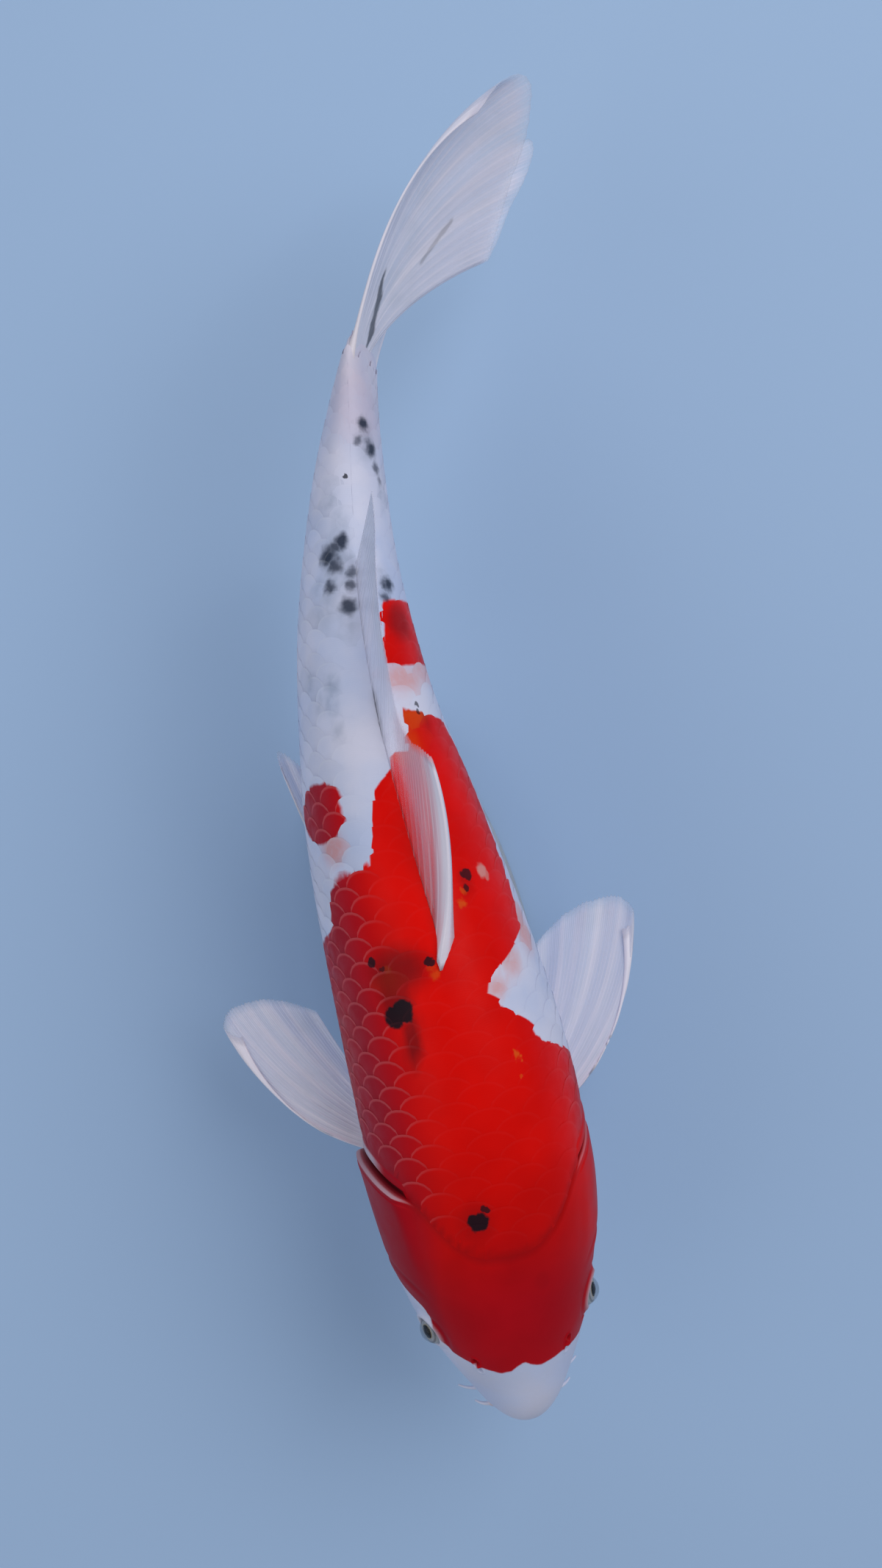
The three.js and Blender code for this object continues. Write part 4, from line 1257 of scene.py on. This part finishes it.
class KOI_OT_eyes(bpy.types.Operator):
    """Eyeballs with a sunken iris and a clear, wet cornea over each"""

    bl_idname = "koi.eyes"
    bl_label = "Eyes"

    def execute(self, context):
        colours = context.scene.koi_colours
        ball_finish, clear_finish = eye_material(colours), cornea_material(colours)
        radius = EYE["radius"] * MM
        for name, side in SIDES:
            centre, axis = eye_axis(side)
            turn = Vector(axis).to_track_quat("Z", "Y").to_euler()
            for kind in ("eyeball", "cornea"):
                clear_selection()
                bpy.ops.mesh.primitive_uv_sphere_add(
                    segments=48, ring_count=32, radius=radius, location=centre * MM, rotation=turn)
                piece = named(f"{kind}_{name}")
                co = np.array([v.co for v in piece.data.vertices])
                off = np.arctan2(np.hypot(co[:, 0], co[:, 1]), co[:, 2])
                if kind == "eyeball":
                    # The iris lies flat and a little sunken; the ball goes back from its edge.
                    dish = 1 - 0.16 * (1 - smooth(0.55, 0.95, off))
                    shape = co * dish[:, None] * 0.985
                    store(piece, from_axis=off, round_axis=np.arctan2(co[:, 1], co[:, 0]))
                else:
                    # Front cap only, a touch fuller over the pupil.
                    shape = co * (1 + 0.05 * (1 - smooth(0.0, 0.9, off)))[:, None]
                piece.data.vertices.foreach_set("co", shape.ravel())
                apply_place(piece)
                if kind == "cornea":
                    self.open_back(piece, centre, axis)
                    settle(piece, clear_finish, "eye")
                else:
                    settle(piece, ball_finish, "eye", f"eye_{name}")
        return {"FINISHED"}

    @staticmethod
    def open_back(piece, centre, axis):
        """Cuts the cap off its ball and gives it a thin wall."""
        cut = Vector((centre + axis * EYE["radius"] * 0.25) * MM)
        edit(piece, lambda: bpy.ops.mesh.bisect(
            plane_co=cut, plane_no=Vector(axis), clear_inner=True, use_fill=False))
        apply_modifier(piece, "SOLIDIFY", thickness=0.0001, offset=1.0)


class KOI_OT_barbels(bpy.types.Operator):
    """Two pairs of soft feelers at the mouth"""

    bl_idname = "koi.barbels"
    bl_label = "Barbels"

    def execute(self, context):
        finish = barbel_material(context.scene.koi_colours)
        for name, side in SIDES:
            for size, form in BARBELS.items():
                piece = add_grid(f"barbel_{size}_skin_{name}", 20, BARBEL_ROWS)
                u, v = shares(piece)
                t = np.linspace(0, 1, BARBEL_ROWS + 1)
                reach = form["reach"]
                route = place(form["along"] - 1.5 * t + 3 * t ** 2,
                              side * (form["across"] + reach * t),
                              form["up"] - 0.55 * reach * t ** 2)
                way = unit(np.gradient(route, axis=0))
                first = unit(np.cross(way, [0.0, 0.0, 1.0]))
                second = np.cross(way, first)
                row = np.clip(np.rint(v * BARBEL_ROWS).astype(int), 0, BARBEL_ROWS)
                # A swollen root, an even taper and a rounded tip.
                radius = mix(1.05, 0.34, t) + 0.8 * swell(t, 0.12)
                radius = radius * np.sqrt(np.clip(1 - np.clip((t - 0.94) / 0.06, 0, 1) ** 2, 0, 1))
                spin = u * 2 * np.pi
                points = (route[row] + first[row] * (radius[row] * np.cos(spin))[:, None]
                          + second[row] * (radius[row] * np.sin(spin))[:, None])
                lay(piece, points)
                store(piece, tip=v)
                edit(piece, weld, self.close_root, outward)
                settle(piece, finish, "skin_white", f"barbel_{size}_{name}")
        return {"FINISHED"}

    @staticmethod
    def close_root():
        bpy.ops.mesh.select_all(action="DESELECT")
        bpy.ops.mesh.select_mode(type="EDGE")
        bpy.ops.mesh.select_non_manifold()
        bpy.ops.mesh.edge_face_add()
        bpy.ops.mesh.select_all(action="SELECT")


# ---- Fins --------------------------------------------------------------------------------------


def paired_ray(form, side):
    """Ray of a paired fin: it leaves the body outwards, then turns back and droops."""
    own = form[side]

    def ray(u, v):
        base = [mix(a, b, u) for a, b in zip(form["from"], form["to"])]
        root = place(base[0], side * base[1], base[2])
        _, back, left, _ = frames(base[0])
        flat = unit(left * [1, 1, 0])
        out = mix(*form["out"], u) + own["out"]
        across, along = arc(out, mix(*form["turn"], u ** 0.6), v)
        length = own["stretch"] * curve(form["rays"], u)
        droop = math.radians(own["droop"])
        point = (root + flat * (side * across * length * math.cos(droop))[..., None]
                 + back * (along * length * math.cos(droop * 0.6))[..., None])
        point[..., 2] -= length * v * math.sin(droop) * np.maximum(across, 0.2 * v)
        return point

    return ray


def dorsal_ray(u, v):
    s = mix(DORSAL["from"], DORSAL["to"], u)
    length = curve(DORSAL["rays"], u)
    rise = np.radians(curve(DORSAL["rise"], u))
    lean = np.radians(mix(curve(DORSAL["foot"], u), curve(DORSAL["tip"], u), v ** 1.3))
    lift = length * v * np.sin(rise)
    at = s + length * v * np.cos(rise)
    sink = section(2, at) - section(2, s)
    return place(at, lift * np.sin(lean), section(2, s) - 2 + lift * np.cos(lean) + 0.6 * sink * v)


def anal_ray(u, v):
    s = mix(ANAL["from"], ANAL["to"], u)
    length = mix(*ANAL["length"], np.sqrt(u)) * v
    fall = np.radians(mix(*ANAL["fall"], u))
    return place(s + length * np.cos(fall), 3 * v * v, section(3, s) + 2 - length * np.sin(fall))


def tail_ray(lobe):
    """Ray of a tail lobe swept to the left; w runs from 0 at the fork to 1 at the leading edge."""

    def ray(w, v):
        count = 24
        point = place(np.full_like(w, TAIL["root"]), 0 * w, lobe * (0.5 + TAIL["half_base"] * w))
        step = curve(TAIL["rays"], w) * v / count
        climb = np.radians(TAIL["spread"] * lobe * w)
        flat, rise = step * np.cos(climb), step * np.sin(climb)
        heading = curve(HEADING, TAIL["root"]) + TAIL["start"]
        turn, ease = mix(*TAIL["turn"], w), mix(*TAIL["ease"], w)
        for i in range(count):
            angle = np.radians(heading + turn * (v * (i + 0.5) / count) ** ease)
            point = point + np.stack([flat * np.sin(angle), flat * np.cos(angle), rise], -1)
        return point

    return ray


def ray_height(u, v, count):
    """1 on a ray and 0 between rays; each ray forks once on its way to the margin."""

    def ridge(times, width):
        off = np.abs((u * count * times) % 1 - 0.5)
        return 1 - smooth(0, width, off)

    fork = smooth(0.34, 0.55, v)
    return ridge(1, 0.2) * (1 - fork) + ridge(2, 0.3) * fork


THINNEST, THICKEST = 0.28, 8.0  # limits of a fin's thickness


def make_fin(name, ray, rays, rows, ripple, seed, finish, nodes, fray=0.02, edge_ray=1.0, root=2.4,
             foot=0.0, blunt=0.0):
    """Fin as a thin sheet with raised rays, a notched margin and soft ripples across its rays.

    It is thicker along its root, its leading ray and the foot of that ray by so many millimetres.
    Fray and blunt shorten the membrane at the margin and at the second tip."""
    piece = add_grid(name, rays * 8, rows)
    u, v = shares(piece)
    v = v ** 0.92
    relief = ray_height(u, v, rays)
    rng = np.random.default_rng(seed)
    # The margin is frayed a little: the membrane ends short of the ray tips.
    worn = np.interp(u, np.linspace(0, 1, rays * 2 + 1), rng.uniform(0, 1, rays * 2 + 1))
    reach = v * (1 - fray * smooth(0.75, 1, v) * (0.15 + 0.45 * (1 - relief) + 0.4 * worn))
    reach = reach * (1 - blunt * swell(u - 0.2, 0.14))
    points = ray(u, reach)
    step = 0.01
    alongside = ray(np.minimum(u + step, 1), reach) - ray(np.maximum(u - step, 0), reach)
    outwards = ray(u, np.minimum(reach + step, 1.02)) - ray(u, np.maximum(reach - step, 0))
    normal = unit(np.cross(alongside, outwards))
    phase = rng.uniform(0, 2 * np.pi, 3)
    wave = (0.6 * np.sin(2 * np.pi * u * 2.2 + phase[0] + 1.4 * v)
            + 0.3 * np.sin(2 * np.pi * u * 4.7 + phase[1])
            + 0.25 * np.sin(2 * np.pi * (u * 1.1 + v * 0.8) + phase[2]))
    calm = smooth(0, 0.12, u) * (1 - 0.5 * smooth(0.9, 1, u))
    points = points + normal * (wave * ripple * v ** 1.4 * calm)[:, None]
    # Membrane halfway between two rays sags behind them.
    points = points - normal * (0.08 * (1 - relief) * smooth(0.05, 0.4, v))[:, None]
    lay(piece, points)
    sheet = piece.data.uv_layers[0]
    sheet.name = "Rays"
    thick = mix(0.48, 0.7, relief) * mix(1, 0.55, np.sqrt(v))
    thick = thick + edge_ray * swell(u, 0.035) * (1 - 0.75 * v)
    thick = thick + root * swell(v, 0.08) + foot * swell(u, 0.06) * swell(v, 0.2)
    weights = piece.vertex_groups.new(name="thickness")
    for i, value in enumerate(np.clip(thick, THINNEST, THICKEST) / THICKEST):
        weights.add([i], float(value), "REPLACE")
    apply_modifier(piece, "SOLIDIFY", thickness=THICKEST * MM, offset=0.0, vertex_group="thickness",
                   use_even_offset=False, use_quality_normals=False)
    edit(piece, outward)
    return settle(piece, finish, "fin", *nodes)


class KOI_OT_paired_fins(bpy.types.Operator):
    """Pectoral and pelvic fins, spread on both sides"""

    bl_idname = "koi.paired_fins"
    bl_label = "Pectoral and Pelvic Fins"

    def execute(self, context):
        fins, colours = context.scene.koi_fins, context.scene.koi_colours
        pectoral = fin_material("Pectoral fin", colours, fins.pectoral_rays)
        pelvic = fin_material("Pelvic fin", colours, fins.pelvic_rays)
        for name, side in SIDES:
            make_fin(f"pectoral_skin_{name}", paired_ray(PECTORAL, side), fins.pectoral_rays, 56,
                     fins.ripple / MM, 11 + side, pectoral, [f"pectoral_fin_{name}"])
            make_fin(f"pelvic_skin_{name}", paired_ray(PELVIC, side), fins.pelvic_rays, 44,
                     fins.ripple / MM * 0.7, 21 + side, pelvic, [f"pelvic_fin_{name}"])
        return {"FINISHED"}


class KOI_OT_dorsal_fin(bpy.types.Operator):
    """Long dorsal fin, folded low and leaning to the left, with a stout white leading ray"""

    bl_idname = "koi.dorsal_fin"
    bl_label = "Dorsal Fin"

    def execute(self, context):
        fins, colours = context.scene.koi_fins, context.scene.koi_colours
        finish = fin_material("Dorsal fin", colours, fins.dorsal_rays, DORSAL_STREAKS, lead=0.07,
                              clear=True)
        make_fin("dorsal_skin", dorsal_ray, fins.dorsal_rays, 36, 0.3, 31, finish, ["dorsal_fin"],
                 edge_ray=3.6, root=0.8, foot=5.0)
        return {"FINISHED"}


class KOI_OT_anal_fin(bpy.types.Operator):
    """Anal fin, hanging back from the belly"""

    bl_idname = "koi.anal_fin"
    bl_label = "Anal Fin"

    def execute(self, context):
        fins, colours = context.scene.koi_fins, context.scene.koi_colours
        finish = fin_material("Anal fin", colours, fins.anal_rays)
        make_fin("anal_skin", anal_ray, fins.anal_rays, 36, 0.8, 41, finish, ["anal_fin"])
        return {"FINISHED"}


class KOI_OT_tail_fin(bpy.types.Operator):
    """Forked tail fin in two lobes, swept round to the left"""

    bl_idname = "koi.tail_fin"
    bl_label = "Tail Fin"

    def execute(self, context):
        fins, colours = context.scene.koi_fins, context.scene.koi_colours
        for name, lobe, streaks in (("upper", 1, TAIL_STREAKS), ("lower", -1, ())):
            ray = tail_ray(lobe)
            finish = fin_material(f"Tail fin {name}", colours, fins.tail_rays, streaks)
            make_fin(f"tail_skin_{name}", lambda u, v: ray(1 - u, v), fins.tail_rays, 60, 1.0,
                     51 + lobe, finish, [f"tail_fin_{name}"], fray=0.006, blunt=0.04)
        return {"FINISHED"}


# ---- Stand and stage ---------------------------------------------------------------------------


class KOI_OT_stand(bpy.types.Operator):
    """Oval base with a softened rim, and two rods with a collar each"""

    bl_idname = "koi.stand"
    bl_label = "Stand"

    def execute(self, context):
        stand, colours = context.scene.koi_stand, context.scene.koi_colours
        clear_selection()
        thick = BASE["thick"] * MM
        bpy.ops.mesh.primitive_cylinder_add(
            vertices=128, radius=BASE["length"] / 2 * MM, depth=thick, location=(0, 0, thick / 2))
        base = named("stand_base_top")
        base.scale = (BASE["width"] / BASE["length"], 1, 1)
        base.rotation_euler = (0, 0, math.radians(BASE["turn"]))
        apply_place(base)
        bevel(base, stand.rim, 5)
        settle(base, base_material(colours), "stand_base", "stand_base", sharp=40)
        steel = steel_material(colours)
        for name, s in RODS.items():
            self.rod(name, s, steel, stand)
        return {"FINISHED"}

    @staticmethod
    def rod(name, s, steel, stand):
        low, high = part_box(f"stand_rod_{name}")
        x, y = (low.x + high.x) / 2, (low.y + high.y) / 2
        radius = (high.x - low.x) / 2
        bottom = BASE["thick"] * MM - 0.0005
        belly = (SWIM_HEIGHT + float(section(3, float(s)))) * MM
        parts = []
        for kind, r, z0, z1, soft in (
                ("shaft", radius, bottom, belly + 0.004, 0.0003),
                ("collar", radius + stand.collar, bottom, bottom + 0.006, 0.0012)):
            clear_selection()
            bpy.ops.mesh.primitive_cylinder_add(vertices=48, radius=r, depth=z1 - z0,
                                                location=(x, y, (z0 + z1) / 2))
            part = named(f"{kind}_{name}")
            apply_place(part)
            bevel(part, soft, 3)
            parts.append(part)
        piece = join(f"stand_rod_{name}_bar", parts)
        settle(piece, steel, "stand_rod", f"stand_rod_{name}", sharp=40)


LIT_POINT = Vector((0, 0.05, 0.1))  # all lamps look at it


class KOI_OT_stage(bpy.types.Operator):
    """Plain pale floor, soft studio light and a camera straight above the fish"""

    bl_idname = "koi.stage"
    bl_label = "Stage"

    def execute(self, context):
        stage, colours = context.scene.koi_stage, context.scene.koi_colours
        clear_selection()
        bpy.ops.mesh.primitive_plane_add(size=6, location=(0, 0, 0))
        floor = named("floor")
        material, n, shader = new_material("Studio floor", Roughness=0.7)
        paler = [c * 1.03 for c in colours.floor]
        patches = n.noise(n.position(), 1.5, 2.0)
        n.put(shader.inputs["Base Color"], n.blend(patches, colours.floor, paler))
        floor.data.materials.append(material)

        context.scene.view_settings.view_transform = "Standard"
        world = context.scene.world or bpy.data.worlds.new("Studio")
        context.scene.world = world
        world.use_nodes = True
        sky = world.node_tree.nodes["Background"]
        sky.inputs[0].default_value = (0.86, 0.92, 1.0, 1)
        sky.inputs[1].default_value = stage.sky
        for name, spot_at, width, power in (
                ("key", (0.75, 0.6, 1.5), 1.3, stage.key),
                ("fill", (-1.2, -0.3, 1.2), 1.5, stage.fill),
                ("rim", (-0.3, 1.4, 0.9), 0.9, stage.fill * 0.6)):
            lamp = bpy.data.lights.new(name, "AREA")
            lamp.energy, lamp.size, lamp.shape = power, width, "DISK"
            light = bpy.data.objects.new(name, lamp)
            light.location = spot_at
            light.rotation_mode = "QUATERNION"
            light.rotation_quaternion = (LIT_POINT - Vector(spot_at)).to_track_quat("-Z", "Y")
            context.scene.collection.objects.link(light)

        eye = bpy.data.cameras.new("Camera")
        eye.sensor_width = 36
        eye.lens = stage.lens
        eye.clip_start, eye.clip_end = 0.05, 20
        camera = bpy.data.objects.new("Camera", eye)
        camera.location = stage.camera
        camera.rotation_euler = (0, 0, 0)
        context.scene.collection.objects.link(camera)
        context.scene.camera = camera
        return {"FINISHED"}


# ---- Settings, panel and registration ----------------------------------------------------------


def size(name, description, default, low=0.0, high=1.0):
    return FloatProperty(name=name, description=description, default=default, min=low, max=high,
                         unit="LENGTH", precision=5)


def paint(name, description, default):
    return FloatVectorProperty(name=name, description=description, default=default, size=3,
                               subtype="COLOR", min=0, max=1)


class KoiBodySettings(bpy.types.PropertyGroup):
    columns: IntProperty(name="Columns", description="Faces round the skin", default=208, min=48)
    rows: IntProperty(name="Rows", description="Faces along the skin", default=310, min=100)
    coat_depth: size("Coat Depth", "How far the scaled skin lies inside the body's outline", 0.0005)
    scale_thickness: size("Scale Thickness", "Thickness of a scale at its free edge", 0.0002)


def ray_count(name, where, default):
    return IntProperty(name=name, description=f"Rays of {where}", default=default)


class KoiFinSettings(bpy.types.PropertyGroup):
    pectoral_rays: ray_count("Pectoral Rays", "a pectoral fin", 16)
    pelvic_rays: ray_count("Pelvic Rays", "a pelvic fin", 9)
    dorsal_rays: ray_count("Dorsal Rays", "the dorsal fin", 21)
    anal_rays: ray_count("Anal Rays", "the anal fin", 6)
    tail_rays: ray_count("Tail Rays", "one tail lobe", 10)
    ripple: size("Ripple", "Height of the soft ripples at the margin of a paired fin", 0.0012)


class KoiStandSettings(bpy.types.PropertyGroup):
    rim: size("Rim", "Rounding of the base's edge", 0.003)
    collar: size("Collar", "How far a rod's collar stands out from it", 0.0025)


class KoiStageSettings(bpy.types.PropertyGroup):
    camera: FloatVectorProperty(name="Camera", description="Place of the camera",
                                default=(0.0029, 0.073, 0.968), subtype="TRANSLATION",
                                unit="LENGTH", size=3)
    lens: FloatProperty(name="Lens", description="Focal length in millimetres", default=49.8)
    key: FloatProperty(name="Key Light", description="Power of the main light", unit="POWER",
                       default=12)
    fill: FloatProperty(name="Fill Light", description="Power of the second light", unit="POWER",
                        default=4.5)
    sky: FloatProperty(name="Sky", description="Strength of the even light all round", default=0.36)


class KoiColourSettings(bpy.types.PropertyGroup):
    red: paint("Red", "Brightest red of the back", (0.84, 0.003, 0.0006))
    red_deep: paint("Deep Red", "Red where the pigment is thick", (0.66, 0.0018, 0.0006))
    # Painted shade and bluish painted reflection on head and flanks.
    red_flank_shade: paint("Flank Red", "Crimson of head and flanks", (0.34, 0.0015, 0.014))
    # Also the painted shade over the head and along the nape line.
    red_sumi_and_shade: paint("Dark Red", "Red over black pigment", (0.1, 0.003, 0.006))
    orange: paint("Orange", "Small flecks in the red", (0.75, 0.12, 0.01))
    white: paint("White", "Porcelain white of the flanks", (0.72, 0.71, 0.85))
    white_cool: paint("Cool White", "Bluish share of the white", (0.55, 0.61, 0.82))
    flesh: paint("Flesh", "Blood tone of thin skin", (0.72, 0.5, 0.47))
    slate: paint("Slate", "Black pigment under white skin", (0.2, 0.26, 0.36))
    slate_pale: paint("Pale Slate", "Clouding of a fin", (0.5, 0.56, 0.66))
    slate_dark: paint("Dark Slate", "Streaks of a fin", (0.03, 0.035, 0.05))
    pink: paint("Pink", "Red fading into white", (0.72, 0.3, 0.28))
    pink_pale: paint("Pale Pink", "Single washed-out scale", (0.7, 0.3, 0.27))
    ink: paint("Ink", "Black pigment showing through white skin", (0.022, 0.032, 0.06))
    black: paint("Black", "Lacquer black of the marks", (0.006, 0.007, 0.012))
    crease: paint("Crease", "Shade in folds, gill opening and mouth", (0.035, 0.01, 0.014))
    rim: paint("Rim", "Pale border of the gill cover and ring of the eye", (0.62, 0.6, 0.7))
    edge_white: paint("White Scale Edge", "Free edge of a white scale", (0.8, 0.82, 0.86))
    edge_red: paint("Red Scale Edge", "Free edge of a red scale", (0.68, 0.12, 0.13))
    # Painted shade where a scale lies under others.
    root_shade: paint("Scale Root", "Darkening where a scale lies under others", (0.72, 0.7, 0.72))
    membrane: paint("Membrane", "Fin between its rays", (0.76, 0.78, 0.93))
    web_pink: paint("Dorsal Membrane", "Dorsal fin between its rays", (0.7, 0.44, 0.54))
    ray: paint("Ray", "Rays of a fin", (0.88, 0.83, 0.94))
    fin_root: paint("Fin Root", "Flesh at the root of a fin", (0.76, 0.68, 0.72))
    iris: paint("Iris", "Darker fibres of the iris", (0.42, 0.43, 0.47))
    iris_light: paint("Light Iris", "Silvery fibres of the iris", (0.66, 0.67, 0.7))
    iris_rim: paint("Iris Rim", "Dark ring round the iris", (0.05, 0.05, 0.07))
    iris_ring: paint("Iris Ring", "Fine gold ring round the pupil", (0.62, 0.46, 0.18))
    eye_white: paint("Eye White", "White of the eye", (0.6, 0.62, 0.66))
    pupil: paint("Pupil", "Pupil of the eye", (0.002, 0.002, 0.004))
    base_dark: paint("Base Grain", "Dark grain of the base", (0.32, 0.36, 0.42))
    base_light: paint("Base", "Lighter grain of the base", (0.4, 0.45, 0.52))
    steel: paint("Steel", "Metal of the rods", (0.42, 0.43, 0.45))
    steel_light: paint("Light Steel", "Brushed lines of the rods", (0.6, 0.61, 0.63))
    floor: paint("Floor", "Plain pale floor", (0.36, 0.51, 0.74))


OPERATORS = (KOI_OT_stage, KOI_OT_skin, KOI_OT_scales, KOI_OT_eyes, KOI_OT_barbels,
             KOI_OT_paired_fins, KOI_OT_dorsal_fin, KOI_OT_anal_fin, KOI_OT_tail_fin, KOI_OT_stand)
SETTINGS = {"koi_body": KoiBodySettings, "koi_fins": KoiFinSettings, "koi_stand": KoiStandSettings,
            "koi_stage": KoiStageSettings, "koi_colours": KoiColourSettings}


class KOI_PT_panel(bpy.types.Panel):
    """Lists the pieces of the koi and their sizes and colours"""

    bl_idname = "KOI_PT_panel"
    bl_label = "Koi Carp"
    bl_space_type = "VIEW_3D"
    bl_region_type = "UI"
    bl_category = "Koi"

    def draw(self, context):
        for operator in OPERATORS:
            self.layout.operator(operator.bl_idname)
        for key in SETTINGS:
            box = self.layout.box()
            group = getattr(context.scene, key)
            for name in group.bl_rna.properties.keys():
                if name not in ("rna_type", "name"):
                    box.prop(group, name)


def register():
    for group in (*SETTINGS.values(), *OPERATORS, KOI_PT_panel):
        bpy.utils.register_class(group)
    for key, group in SETTINGS.items():
        setattr(bpy.types.Scene, key, PointerProperty(type=group))


def unregister():
    for key in SETTINGS:
        delattr(bpy.types.Scene, key)
    for group in reversed((*SETTINGS.values(), *OPERATORS, KOI_PT_panel)):
        bpy.utils.unregister_class(group)


def main():
    register()
    bpy.ops.koi.stage()
    bpy.ops.koi.skin()
    bpy.ops.koi.scales()
    bpy.ops.koi.eyes()
    bpy.ops.koi.barbels()
    bpy.ops.koi.paired_fins()
    bpy.ops.koi.dorsal_fin()
    bpy.ops.koi.anal_fin()
    bpy.ops.koi.tail_fin()
    bpy.ops.koi.stand()
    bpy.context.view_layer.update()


if __name__ == "__main__":
    main()
